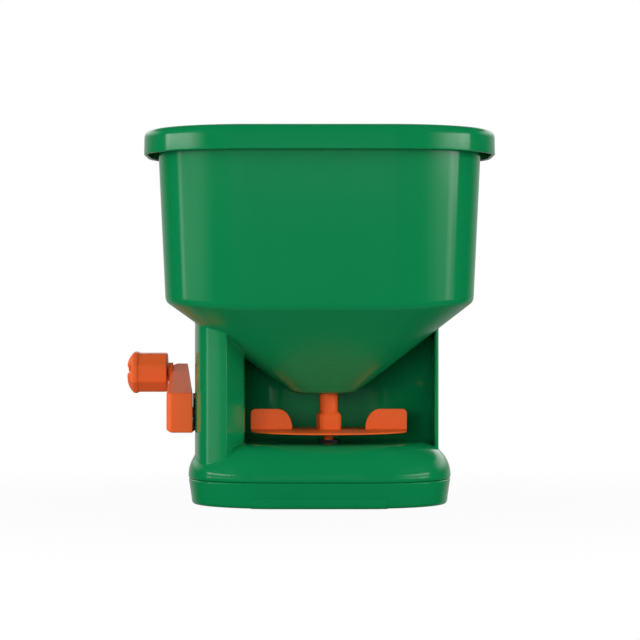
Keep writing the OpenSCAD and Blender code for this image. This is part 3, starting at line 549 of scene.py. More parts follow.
def spun(z: float, degrees: float = 0.0) -> Matrix:
    """A placing at a height on the spinner's axis, turned about it."""
    return Matrix.Translation((SPIN_X, 0, z)) @ Matrix.Rotation(math.radians(degrees), 4, "Z")


def rod(place: Matrix, radius: float, start: float, end: float) -> bpy.types.Object:
    """A cylinder along a placing's Z axis, between two distances on it."""
    return Form().turned([(radius, start), (radius, end)], 48).moved(place).object("rod")


def post(x: float, y: float, radius: float, low: float, high: float) -> bpy.types.Object:
    """An upright cylinder between two heights."""
    return rod(Matrix.Translation((x, y, 0)), radius, low, high)


def sector(inner: float, outer: float, angles: Pair, low: float, high: float) -> bpy.types.Object:
    """A cutter: a flat ring sector about the spinner's axis.

    Args:
        inner: its inner radius.
        outer: its outer radius.
        angles: where it starts and ends, in degrees.
        low: height of its underside.
        high: height of its top.

    Returns:
        The cutter.
    """
    middle = Vector((SPIN_X, 0))
    start, end = angles
    outline = arc(middle, inner, start, end, 12) + arc(middle, outer, end, start, 12)
    return Form().plate(outline, low, high).object("sector")


class SubAssembly:
    """Dresses pieces and hands them to the frame."""

    materials: dict[Slot, bpy.types.Material] = {}

    @classmethod
    def dress(cls, piece: bpy.types.Object, body: str, slot: Slot, *nodes: str, sharp: float = 32) -> None:
        """Gives a piece its material and shading, and sets it on its body.

        Args:
            piece: the piece, in place.
            body: the body that it rides on.
            slot: its finish.
            nodes: the CAD nodes that it stands for.
            sharp: edges that turn by more than this many degrees stay sharp.
        """
        piece.data.materials.clear()
        piece.data.materials.append(cls.materials[slot])
        piece.data.shade_smooth()
        piece.data.set_sharp_from_angle(angle=math.radians(sharp))
        weigh = piece.modifiers.new("weigh", "WEIGHTED_NORMAL")
        weigh.keep_sharp = True
        baked(piece)
        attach(piece, body)
        if nodes:
            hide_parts(*nodes)
        LOG.info("%s: %d faces on %s", piece.name, len(piece.data.polygons), body)


@dataclass(frozen=True)
class BackPad:
    """A raised pad on the back, where an end of the handle is screwed on."""

    width: float
    tall: float
    near: float
    face: float
    z: float
    rounding: float

    def build(self) -> bpy.types.Object:
        """Makes the pad."""
        low = (-self.width / 2, self.near, self.z - self.tall / 2)
        high = (self.width / 2, self.face, self.z + self.tall / 2)
        return Form().block(low, high).bevel(self.rounding).object("pad")


@dataclass
class Hopper(SubAssembly):
    """The tapered hopper with its turned-down rim, and the cover under its outlet."""

    height: float = 240.5
    foot: Ring = Ring(half_w=19.5, half_d=19.5, corner=13.0, mid_x=3.0, z=71.5)
    fold: Ring = Ring(half_w=99.0, half_d=72.5, corner=55.0, mid_x=0.0, z=131.0, dip=4.5)
    brim: Ring = Ring(half_w=104.0, half_d=78.0, corner=60.0, mid_x=0.0, z=237.8)
    fold_round: float = 3.0
    wall: float = 2.5
    funnel_wall: float = 4.256
    floor_round: float = 2.5
    rim_reach: float = 8.7
    rim_h: float = 15.8
    rim_lean: float = 0.2
    rim_round: float = 5.4
    rim_wall: float = 2.2
    rim_taper: float = 0.6
    rim_edge: float = 0.9
    lip_round: float = 1.4
    floor_z: float = 76.9
    floor_top: float = 79.4
    cover_top: float = 76.82
    cover_round: float = 3.6
    pocket_z: float = 74.1
    pocket_r: float = 15.5
    shaft_hole_r: float = 6.6
    lever_reach: Pair = (8.0, 40.0)
    lever_swing: Pair = (48.0, 136.0)
    screw_seat_r: float = 2.7
    bush_r: float = 7.53
    port_reach: Pair = (8.93, 13.8)
    port_angle: float = 26.0
    port_turn: float = 168.0
    pad: BackPad = BackPad(width=42.8, tall=28.0, near=72.0, face=80.0, z=160.0, rounding=1.4)

    def underside(self, x: float, y: float) -> float:
        """Finds the funnel's outer face by halving steps.

        Args:
            x: sideways place.
            y: depth.

        Returns:
            The face's height over that place.
        """
        low, high = self.foot.z, self.fold.z
        for _ in range(40):
            middle = (low + high) / 2
            if self.foot.level(self.fold, middle).distance(x, y) > 0:
                low = middle
            else:
                high = middle
        return self.foot.level(self.fold, low).height(y)

    def folded(self, foot: Ring, fold: Ring, top: Ring) -> list[Ring]:
        """Outlines round the fold between the funnel and the upright wall.

        Args:
            foot: the funnel's lowest outline.
            fold: the sharp fold.
            top: the wall's highest outline.

        Returns:
            Outlines from the funnel to the wall.
        """
        slope = math.hypot(fold.half_w - foot.half_w, fold.z - foot.z)
        inward = fold.mixed(foot, self.fold_round / slope)
        upward = fold.mixed(top, self.fold_round / (top.z - fold.z))
        return eased(inward, fold, upward, 10)

    def outside(self) -> list[Ring]:
        """Outer outlines from the floor up to under the rim."""
        start = self.foot.level(self.fold, self.floor_z)
        return [start, *self.folded(self.foot, self.fold, self.brim), self.brim]

    def rim(self) -> list[Ring]:
        """Outlines of the rim, from its inner corner over its skirt to the hopper's lip."""
        bottom = self.height - self.rim_h
        edge = self.rim_edge
        skirt = self.brim.grown(self.rim_reach).at(bottom)
        inner = skirt.grown(-self.rim_wall)
        rings = [inner.grown(-self.rim_taper).at(self.brim.z)]
        rings += eased(inner.at(bottom + edge), inner, inner.grown(edge), 4)
        rings += eased(skirt.grown(-edge), skirt, skirt.at(bottom + edge), 4)
        shoulder = self.brim.grown(self.rim_reach - self.rim_lean).at(self.height)
        start = shoulder.at(self.height - self.rim_round)
        rings += eased(start, shoulder, shoulder.grown(-self.rim_round), 10)
        lip = self.brim.grown(-self.wall).at(self.height)
        return rings + eased(lip.grown(self.lip_round), lip, lip.at(self.height - self.lip_round), 5)

    def inside(self) -> list[Ring]:
        """Inner outlines from the lip down to the floor."""
        fold = self.fold.grown(-self.wall)
        foot = self.foot.level(self.fold, self.floor_top).grown(-self.funnel_wall)
        lip = self.brim.grown(-self.wall).at(self.height - self.lip_round)
        floor = eased(foot.mixed(fold, 0.06), foot, foot.grown(-self.floor_round), 5)
        return self.folded(foot, fold, lip)[::-1] + floor

    def ports(self, low: float, high: float) -> list[bpy.types.Object]:
        """Cutters for the three flow holes between two heights."""
        half = self.port_angle / 2
        turns = [self.port_turn + k * 120 for k in range(3)]
        return [sector(*self.port_reach, (t - half, t + half), low, high) for t in turns]

    def cover(self) -> None:
        """Makes the cover under the flow gate."""
        below, above = 70, 80
        edge = self.foot.level(self.fold, self.foot.z + self.cover_round * 0.55)
        rings = eased(self.foot.grown(-self.cover_round), self.foot, edge, 10)
        rings.append(self.foot.level(self.fold, self.cover_top))
        cover = Form().loft(rings).object("outlet_cover_shell")
        lever = sector(*self.lever_reach, self.lever_swing, self.pocket_z, above)
        pocket = post(SPIN_X, 0, self.pocket_r, self.pocket_z, above)
        hole = post(SPIN_X, 0, self.shaft_hole_r, below, above)
        seats = [post(x, y, self.screw_seat_r, below, z) for x, y, z in OUTLET_SEATS]
        carved(cover, lever, pocket, hole, *seats, *self.ports(below, self.pocket_z + 0.9))
        self.dress(cover, "frame", Slot.GREEN, "outlet_cover")

    def build(self) -> None:
        """Makes the hopper and the outlet cover."""
        shell = Form().loft(self.outside() + self.rim() + self.inside()).object("shell")
        low, high = self.floor_z - 1, self.floor_top + 1
        carved(shell, post(SPIN_X, 0, self.bush_r, low, high), *self.ports(low, high))
        self.dress(joined("hopper_shell", shell, self.pad.build()), "frame", Slot.GREEN, "hopper")
        self.cover()


@dataclass
class Housing(SubAssembly):
    """The rolled deck with the gear tower and the shield behind the spinner."""

    hopper: Hopper
    girth: Ring = GIRTH
    deck_z: float = 40.0
    seam_z: float = 16.65
    wall: float = 2.5
    tower_left: float = 80.9
    tower_inner: float = 48.0
    tower_front: float = 46.6
    tower_nose: float = 28.0
    tower_flank: float = 100.0
    tower_bend: float = 195.0
    tower_edge: float = 252.2
    tower_slant: float = 16.0
    tower_skin: float = 3.0
    shield_right: float = 77.0
    shield_back: float = 57.5
    shield_corner: float = 52.0
    shield_end: float = 8.0
    shield_wall: float = 2.6
    inner_corner: float = 30.0
    foot_fillet: float = 1.3
    foot_sink: float = 0.12
    top_fillet: float = 1.0
    top_sink: float = 0.9
    bush_r: float = 7.13
    deck_bush_r: float = 5.13
    lever_reach: Pair = (44.0, 88.0)
    lever_swing: Pair = (68.0, 116.0)
    lever_slot: Pair = (74.1, 76.9)
    pad: BackPad = BackPad(width=42.8, tall=20.0, near=52.0, face=66.0, z=27.0, rounding=1.2)

    @property
    def roll(self) -> float:
        """Radius of the deck's rolled edge."""
        return self.deck_z - self.girth.z

    @property
    def back_corner(self) -> Vector:
        """Middle of the round corner behind the tower."""
        return Vector((self.shield_corner - self.tower_left, self.shield_back - self.shield_corner))

    def rolled(self, angle: float, depth: float) -> Ring:
        """The deck's outline at an angle of its rolled edge and a depth in its wall."""
        turn = math.radians(angle)
        radius = self.roll - depth
        edge = self.girth.grown(radius * math.cos(turn) - self.roll)
        return edge.at(self.girth.z + radius * math.sin(turn))

    def deck_at(self, x: float, y: float) -> float:
        """Height of the deck's top face over a place."""
        inside = min(max(-self.girth.distance(x, y), 0), self.roll)
        return self.girth.z + math.sqrt(self.roll**2 - (self.roll - inside) ** 2)

    def deck(self) -> bpy.types.Object:
        """The deck's shell with its bush hole."""
        rings = [self.rolled(a, self.wall) for a in range(90, -1, -10)]
        rings.append(self.girth.grown(-self.wall).at(self.seam_z))
        lip = self.girth.at(self.seam_z)
        rings += eased(lip.grown(-1.1), lip.grown(-0.3), self.girth.grown(-0.08).at(self.seam_z + 1.3), 5)
        rings += [self.rolled(a, 0) for a in range(0, 91, 5)]
        return carved(Form().loft(rings).object("deck"), post(SPIN_X, 0, self.deck_bush_r, 30, 45))

    def tower_curve(self, inset: float, start: float) -> list[Vector]:
        """The tower's front corner and left side seen from above, moved inwards by a distance.

        Args:
            inset: how far inside the outer face.
            start: angle where the curve begins, in degrees.

        Returns:
            Points from the front to the left side.
        """
        bend = Vector((math.cos(math.radians(self.tower_bend)), math.sin(math.radians(self.tower_bend))))
        offset = (self.tower_nose - self.tower_flank) * bend
        nose = Vector((self.tower_flank - self.tower_left - offset.x, self.tower_nose - self.tower_front))
        front = arc(nose, self.tower_nose - inset, start, self.tower_bend, 30)
        return front + arc(nose + offset, self.tower_flank - inset, self.tower_bend, 180, 12)[1:]

    def plan(self) -> list[Vector]:
        """The walls' outline seen from above, anticlockwise."""
        path = self.tower_curve(0, self.tower_edge)
        slant_end = Vector((-self.tower_inner, path[0].y + self.tower_slant))
        half = self.shield_wall / 2
        right = Vector((self.shield_right - self.shield_corner, self.back_corner.y))
        deep = self.shield_back - self.shield_wall
        inner = Vector((self.inner_corner - self.tower_inner, deep - self.inner_corner))
        tip = Vector((self.shield_right - half, -self.shield_end))
        path += arc(self.back_corner, self.shield_corner, 180, 90, 48)
        path += arc(right, self.shield_corner, 90, 0, 48)
        path += arc(tip, half, 0, -180, 10)
        path += arc(right, self.shield_corner - self.shield_wall, 0, 90, 48)
        path += arc(inner, self.inner_corner, 90, 180, 32)
        path = softened([*path, slant_end], len(path), 2.4, 6)
        return dense(softened(path, 0, 0.9, 5)[::-1], 1.6)

    def hollow(self) -> list[Vector]:
        """The tower's hollow seen from above."""
        outline = self.tower_curve(self.tower_skin, 240)
        outline += arc(self.back_corner, self.shield_corner - self.tower_skin, 180, 125, 12)
        outline += [Vector((-self.tower_inner - self.tower_skin, y)) for y in (32, -24)]
        return dense(outline, 3)

    def walls(self) -> bpy.types.Object:
        """The tower's and shield's walls, flared where they meet the deck and the funnel."""
        path = self.plan()
        under = self.hopper.underside
        quarter = [math.pi / 2 * k / 7 for k in range(8)]
        loops = []
        for turn in quarter:
            out = self.foot_fillet * (1 - math.sin(turn))
            lift = self.foot_fillet * (1 - math.cos(turn)) - (self.foot_sink if turn == 0 else 0)
            loops.append(lifted(spread(path, out), self.deck_at, lift))
        for turn in quarter:
            out = self.top_fillet * (1 - math.cos(turn))
            drop = self.top_fillet * (1 - math.sin(turn))
            loops.append(lifted(spread(path, out), under, -drop))
        loops.append([Vector((p.x, p.y, p.z + self.top_sink)) for p in loops[-1]])
        form = Form()
        rows = form.skin(loops, capped=False)
        inner = self.hollow()
        core = form.skin([lifted(inner, self.deck_at, -1), lifted(inner, under, self.top_sink)], capped=False)
        for outer_row, inner_row in ((rows[0], core[0]), (rows[-1], core[1])):
            flat = [[Vector((v.co.x, v.co.y, 0)) for v in row] for row in (outer_row, inner_row)]
            every = outer_row + inner_row
            for triangle in tessellate_polygon(flat):
                form.bm.faces.new([every[i] for i in triangle])
        slot = sector(*self.lever_reach, self.lever_swing, *self.lever_slot)
        return carved(form.object("walls"), slot, rod(sideways(0, 0, CRANK_Z), self.bush_r, -90, -66))

    def build(self) -> None:
        """Makes the housing."""
        shell = joined("housing_shell", self.deck(), self.walls(), self.pad.build())
        self.dress(shell, "frame", Slot.GREEN, "housing")


@dataclass
class BasePan(SubAssembly):
    """The pan under the seam with its proud pad and screw pockets."""

    girth: Ring = GIRTH
    seam_z: float = 16.5
    seam_round: float = 1.1
    waist_z: float = 4.0
    pad_half: float = 43.0
    floor_z: float = 0.2
    proud: float = 0.8
    pad_top: float = 6.6
    wall: float = 2.5
    boss_r: float = 5.5

    def side(self, grow: float) -> list[Ring]:
        """Outlines of the pan's outer face.

        Args:
            grow: how far they are moved out.

        Returns:
            Outlines from the floor to the seam.
        """
        waist = self.girth.grown(-2.0).at(self.waist_z)
        floor = self.girth.grown(-4.6).at(self.floor_z)
        top = self.girth.grown(-0.2).at(self.seam_z)
        rings = eased(floor, waist.at(self.floor_z), waist, 10)
        rings.append(waist.level(top, self.seam_z - 1.5))
        rings += eased(top.at(self.seam_z - self.seam_round), top, top.grown(-0.9), 4)
        return [r.grown(grow).at(r.z - grow / 4) for r in rings]

    def strip(self, ring: Ring) -> list[Vector]:
        """The middle part of an outline, closed by straight sides."""
        count = 48
        spots = [self.pad_half * (2 * i / count - 1) for i in range(count + 1)]
        front = [Vector((x, -ring.side(x), ring.z)) for x in spots]
        return front + [Vector((x, ring.side(x), ring.z)) for x in spots[::-1]]

    def pocketed(self, piece: bpy.types.Object) -> bpy.types.Object:
        """A piece with the screw pockets cut out."""
        return carved(piece, *(post(x, y, SCREW_POCKET_R, -1, z) for x, y, z in BASE_SEATS))

    def hollow(self) -> list[Ring]:
        """Outlines of the pan's inner face, from its floor to the seam."""
        floor = self.side(0)[0].grown(-0.6).at(self.floor_z + self.wall)
        waist = self.girth.grown(-3.5 - self.wall).at(self.waist_z + 2)
        top = self.girth.grown(-1.4 - self.wall).at(self.seam_z)
        return eased(floor, waist.at(floor.z), waist, 5) + [top]

    def pad(self) -> bpy.types.Object:
        """The proud pad across the middle."""
        rings = [r for r in self.side(self.proud) if r.z < self.pad_top]
        rings.append(rings[-1].level(rings[-2], self.pad_top))
        return Form().solid([self.strip(r) for r in rings]).object("pad")

    def build(self) -> None:
        """Makes the pan."""
        pan = Form().loft(self.hollow() + self.side(0)[::-1]).object("pan")
        bosses = [post(x, y, self.boss_r, self.floor_z + 1, self.seam_z) for x, y, _ in BASE_SEATS]
        pieces = [self.pocketed(piece) for piece in (pan, *bosses, self.pad())]
        self.dress(joined("base_pan_shell", *pieces), "frame", Slot.GREEN, "base_pan")


@dataclass
class Handle(SubAssembly):
    """The rear handle: two halves that meet at a seam."""

    width: float = 26.0
    depth: float = 28.0
    arm: float = 20.0
    y: float = 120.0
    top_z: float = 160.0
    low_z: float = 27.0
    bend: float = 22.0
    upper_y: float = 80.02
    lower_y: float = 66.02
    plate: float = 3.5
    plate_half_w: float = 21.4
    upper_plate_h: float = 28.0
    lower_plate_h: float = 20.0
    seam: float = 0.05
    groove: float = 0.55
    fullness: float = 0.75

    def path(self) -> list[Quad]:
        """The middle line as y, z, half depth and angle of travel."""
        steps = 28
        line = [(self.upper_y, self.top_z, self.arm / 2, 0.0)]
        for z, start, sign in ((self.top_z - self.bend, 90, 1), (self.low_z + self.bend, 0, -1)):
            for i, p in enumerate(arc(Vector((self.y - self.bend, z)), self.bend, start, start - 90, steps)):
                t = i / steps if sign > 0 else 1 - i / steps
                smooth = t * t * (3 - 2 * t)
                half = (self.arm + (self.depth - self.arm) * smooth) / 2
                line.append((p.x, p.y, half, start - 90 - 90 * i / steps))
        line.append((self.lower_y, self.low_z, self.arm / 2, -180.0))
        return line

    def section(self, half_depth: float) -> list[Pair]:
        """Half of the rounded section, with a small groove at the seam."""
        inner = self.seam + self.groove
        points = [(self.seam, half_depth - self.groove), (inner, half_depth)]
        for i in range(25):
            a = math.radians(78 - 156 * i / 24)
            lift = math.copysign(abs(math.sin(a)) ** self.fullness, math.sin(a))
            points.append((self.width / 2 * math.cos(a) ** self.fullness, half_depth * lift))
        return points + [(inner, -half_depth), (self.seam, self.groove - half_depth)]

    def half(self, side: int) -> bpy.types.Object:
        """Makes one half of the handle.

        Args:
            side: -1 for the left of the seam or 1 for the right.

        Returns:
            The half with its two end plates.
        """
        loops = []
        for y, z, half, angle in self.path():
            sin, cos = math.sin(math.radians(angle)), math.cos(math.radians(angle))
            loops.append([Vector((side * x, y - d * sin, z + d * cos)) for x, d in self.section(half)])
        grip = Form().solid(loops).object("grip")
        if side > 0:
            carved(grip, *(rod(sideways(0, y, z), SCREW_POCKET_R, x, 20) for x, y, z in CLAMP_SEATS))
        left, right = sorted((side * self.seam, side * self.plate_half_w))
        plates = Form()
        upper = (self.upper_y, self.top_z, self.upper_plate_h)
        for y, z, tall in (upper, (self.lower_y, self.low_z, self.lower_plate_h)):
            plates.block((left, y, z - tall / 2), (right, y + self.plate, z + tall / 2))
        return joined("grip", grip, plates.bevel(0.7).object("plates"))

    def build(self) -> None:
        """Makes both halves."""
        for side, name in ((-1, "left"), (1, "right")):
            half = self.half(side)
            half.name = f"handle_shell_{name}"
            self.dress(half, "frame", Slot.GREEN, f"handle_{name}", sharp=40)


@dataclass
class Crank(SubAssembly):
    """The crank arm and its eight-sided grip."""

    inner: float = -81.8
    thick: float = 17.2
    tip_thick: float = 11.6
    half: float = 12.8
    chamfer: float = 3.0
    screw_depth: float = 2.4
    collar: float = 2.0
    collar_r: float = 6.5
    pin: Pair = (50.073, 25.075)
    grip_w: float = 25.5
    grip_l: float = 26.6
    grip_gap: float = 0.6
    corner_share: float = 1.066
    twist: float = math.radians(4)
    notch_at: float = math.radians(163)
    rib_out: float = 0.75
    rib_near: float = 10.6
    rib_far: float = 12.2

    @property
    def outer(self) -> float:
        """Sideways place of the arm's outer face."""
        return self.inner - self.thick

    def outline(self, shrink: float) -> list[Vector]:
        """The arm's side shape about the crank axis, drawn in by a distance."""
        y, z = self.pin
        h = self.half
        corners = [(-h, -h), (h, -h), (y + 7.5, z - 8), (y + 5.5, z + 6), (-h, h)]
        middle = Vector((0.4 * y, 0.4 * z))
        return [p - shrink * (p - middle).normalized() for p in map(Vector, corners)]

    def inner_face(self, y: float) -> float:
        """Sideways place of the arm's inner face, which slopes away from the tower."""
        slope = (self.thick - self.tip_thick) / (self.pin[0] - self.half)
        return self.inner - max(0.0, y - self.half) * slope

    def arm(self) -> None:
        """Makes the arm."""
        loops = []
        for x, shrink in ((self.outer, self.chamfer), (self.outer + self.chamfer, 0.0)):
            loops.append([Vector((x, p.x, p.y + CRANK_Z)) for p in self.outline(shrink)])
        loops.append([Vector((self.inner_face(p.x), p.x, p.y + CRANK_Z)) for p in self.outline(0)])
        body = Form().solid(loops).bevel(0.9, 4, 12).object("arm")
        carved(body, rod(sideways(0, 0, CRANK_Z), SCREW_POCKET_R, -110, self.outer + self.screw_depth))
        r, ease = self.collar_r, 0.4
        collar = Form().turned([(r - ease, 0), (r, ease), (r, self.collar + 1)], 64)
        y, z = self.pin
        collar.moved(sideways(self.outer - self.collar, y, CRANK_Z + z))
        whole = joined("crank_arm_shell", body, collar.object("collar"), self.rib())
        self.dress(whole, "crank", Slot.ORANGE, "crank_arm")

    def rib(self) -> bpy.types.Object:
        """A low rib on the inner face, beside the bush, that nearly closes the gap to the tower."""
        low = (self.inner - 1, self.rib_near, CRANK_Z - self.rib_far)
        high = (self.inner + self.rib_out, self.rib_far, CRANK_Z + self.rib_far)
        return Form().block(low, high).bevel(0.2, 2).object("rib")

    def lobed(self, along: float, flat: float, dip: float) -> list[Vector]:
        """A loop round the grip: eight rounded sides, pulled back at two opposite notches.

        Args:
            along: distance from the arm.
            flat: half the width across flats.
            dip: depth of the notches.

        Returns:
            Points in the frame's axes.
        """
        y, z = self.pin
        count = 160
        eighth = math.pi / 4
        start = self.outer - self.collar - self.grip_gap
        loop = []
        for i in range(count):
            turn = math.tau * i / count
            nearest = round((turn - self.twist) / eighth) * eighth + self.twist
            radius = min(flat / math.cos(turn - nearest), flat * self.corner_share)
            back = dip * max(0.0, math.cos(2 * (turn - self.notch_at))) ** 6
            place = (y + radius * math.cos(turn), z + CRANK_Z + radius * math.sin(turn))
            loop.append(Vector((start - along + back, *place)))
        return loop

    def grip(self) -> None:
        """Makes the grip with its flanged, scalloped end."""
        half = self.grip_w / 2
        length = self.grip_l
        profile = [
            (0.0, half - 1.0, 0.0),
            (0.3, half - 0.3, 0.0),
            (1.0, half, 0.0),
            (length - 8.2, half, 0.0),
            (length - 7.6, half + 0.2, 0.0),
            (length - 6.8, half + 0.75, 0.0),
            (length - 5.6, half + 0.85, 0.0),
            (length - 4.2, half + 0.5, 0.0),
            (length - 2.8, half - 0.9, 0.5),
            (length - 1.6, half - 2.6, 1.6),
            (length - 0.7, half - 4.4, 2.6),
            (length - 0.1, half - 6.2, 3.0),
            (length, half - 7.2, 2.8),
            (length - 0.6, half - 8.0, 2.0),
            (length - 3.6, half - 8.4, 0.0),
        ]
        grip = Form().solid([self.lobed(*row) for row in profile]).object("crank_grip_shell")
        self.dress(grip, "grip", Slot.ORANGE, "crank_grip", "grip_cap", sharp=24)

    def build(self) -> None:
        """Makes the arm and the grip."""
        self.arm()
        self.grip()


@dataclass
class Spinner(SubAssembly):
    """The spinner: a thin disc with two vanes and a chamfered square hub."""

    radius: float = 51.0
    bore: float = 3.2
    z: float = 46.3
    thick: float = 1.8
    vane_h: float = 13.2
    vane_in: float = 23.7
    vane_rise: float = 9.5
    vane_t: float = 2.0
    vane_round: float = 3.0
    vane_sunk: float = 0.4
    hub_w: float = 14.3
    hub_cut: float = 2.2
    hub_turn: float = 12.7
    hub_top: float = 60.2
    neck_r: float = 6.5

    def vane(self, turn: float) -> bpy.types.Object:
        """Makes one vane.

        Args:
            turn: its direction in degrees.

        Returns:
            The vane, standing on the disc.
        """
        low = self.thick - self.vane_sunk
        end = self.radius - 0.2
        top = self.thick + self.vane_h
        outline = [Vector((self.vane_in, low)), Vector((end, low))]
        outline += arc(Vector((end - self.vane_round, top - self.vane_round)), self.vane_round, 0, 90, 8)
        for i in range(15):
            a = math.radians(90 - 86 * i / 14)
            across = self.vane_in + self.vane_rise * (1 - math.cos(a))
            outline.append(Vector((across, self.thick + self.vane_h * math.sin(a))))
        form = Form().plate(outline, -self.vane_t / 2, self.vane_t / 2).bevel(0.45, 3, 50)
        return form.moved(spun(self.z, turn) @ Matrix.Rotation(math.pi / 2, 4, "X")).object("vane")

    def disc(self) -> bpy.types.Object:
        """The disc with a rounded rim that thins towards its edge."""
        inset = [(0.6, 0), (0.15, 0.15), (0, 0.45), (0, 0.75), (0.2, 1.0), (0.9, 1.15), (7, self.thick)]
        edge = [(self.radius - depth, height) for depth, height in inset]
        form = Form().turned([(self.bore, 0), *edge, (self.bore, self.thick)], 160)
        return form.moved(spun(self.z)).object("disc")

    def hub(self) -> bpy.types.Object:
        """The hub with its cut corners and sloping shoulder."""
        half, short = self.hub_w / 2, self.hub_w / 2 - self.hub_cut
        corners = []
        for sx, sy in ((1, 1), (-1, 1), (-1, -1), (1, -1)):
            pair = [Vector((sx * half, sy * short)), Vector((sx * short, sy * half))]
            corners += pair if sx * sy > 0 else pair[::-1]
        top = self.hub_top - self.z
        loops = [[Vector((p.x, p.y, z)) for p in corners] for z in (0.6, top - 3.0)]
        loops.append([Vector((*(p.normalized() * self.neck_r), top - 0.4)) for p in corners])
        return Form().solid(loops).bevel(0.5, 3, 15).moved(spun(self.z, self.hub_turn)).object("hub")

    def build(self) -> None:
        """Makes the spinner."""
        whole = joined("spinner_shell", self.disc(), self.hub(), self.vane(0), self.vane(180))
        self.dress(whole, "spinner", Slot.ORANGE, "spinner")


@dataclass
class Gate(SubAssembly):
    """The flow gate's ribbed knob and the raised scale beside its slot."""

    z: float = 75.5
    angle: float = 108.0
    swing: float = 32.0
    knob_r: float = 71.0
    half_w: float = 9.0
    half_h: float = 9.0
    rib_half_h: float = 7.0
    rib_step: float = 3.2
    wall_y: float = 57.5
    ticks: int = 6
    tick_z: float = 89.0

    def knob(self) -> None:
        """Makes the knob with its finger ribs."""
        low = (self.knob_r - 6, -self.half_w, -self.half_h)
        body = Form().block(low, (self.knob_r + 3.4, self.half_w, self.half_h)).bevel(1.8, 4)
        ribs = Form()
        for i in range(-2, 3):
            across = i * self.rib_step
            low = (self.knob_r + 2.6, across - 0.8, -self.rib_half_h)
            ribs.block(low, (self.knob_r + 5.6, across + 0.8, self.rib_half_h))
        ribs.bevel(0.6, 3)
        pieces = [form.moved(spun(self.z, self.angle)).object("knob") for form in (body, ribs)]
        self.dress(joined("gate_knob_shell", *pieces), "gate", Slot.ORANGE, "gate_knob")

    def scale(self) -> None:
        """Makes a row of raised marks that grow towards the open end."""
        form = Form()
        for i in range(self.ticks):
            turn = math.radians(self.angle - self.swing * i / (self.ticks - 1))
            x = SPIN_X + self.wall_y / math.tan(turn)
            top = self.tick_z + 3 + 1.5 * i
            form.block((x - 0.7, self.wall_y - 0.4, self.tick_z), (x + 0.7, self.wall_y + 0.6, top))
        self.dress(form.bevel(0.2, 2).object("flow_scale"), "frame", Slot.GREEN)

    def build(self) -> None:
        """Makes the knob and the scale."""
        self.knob()
        self.scale()


@dataclass(frozen=True)
class ScrewRow:
    """Screws of one size on one body.

    Args:
        name: the piece's name.
        node: the CAD node that they stand for.
        body: the body that they ride on.
        seats: the middle of each head's underside, in millimetres.
        axis: the way that the heads face.
        head: head diameter and height.
        shank: shank diameter and length.
    """

    name: str
    node: str
    body: str
    seats: tuple[Triple, ...]
    axis: Triple
    head: Pair
    shank: Pair


UP, DOWN, BACK, LEFT, RIGHT = (0, 0, 1), (0, 0, -1), (0, 1, 0), (-1, 0, 0), (1, 0, 0)
HOPPER_SEATS = ((-14, 57.5, 104), (20, 57.5, 104))
HANDLE_SEATS = ((-16.9, 83.52, 160), (16.9, 83.52, 160), (-16.9, 69.52, 27), (16.9, 69.52, 27))
SCREW_ROWS = (
    ScrewRow("base_screw_row", "base_screws", "frame", BASE_SEATS, DOWN, (7.2, 2), (3.6, 16)),
    ScrewRow("hopper_screw_row", "hopper_screws", "frame", HOPPER_SEATS, BACK, (7, 2.4), (3.6, 6.6)),
    ScrewRow("outlet_screw_row", "outlet_screws", "frame", OUTLET_SEATS, DOWN, (4.6, 1.4), (2.4, 6.7)),
    ScrewRow("handle_screw_row", "handle_screws", "frame", HANDLE_SEATS, BACK, (7, 2.4), (3.6, 8)),
    ScrewRow("clamp_screw_row", "handle_clamp_screws", "frame", CLAMP_SEATS, RIGHT, (7, 2.4), (3.6, 18)),
    ScrewRow("crank_screw_row", "crank_screw", "crank", ((-96.6, 0, CRANK_Z),), LEFT, (7, 2.2), (3.6, 13)),
    ScrewRow("agitator_screw_row", "agitator_screw", "spinner", ((SPIN_X, 0, 89.3),), UP, (11, 1.6), (3, 9)),
)


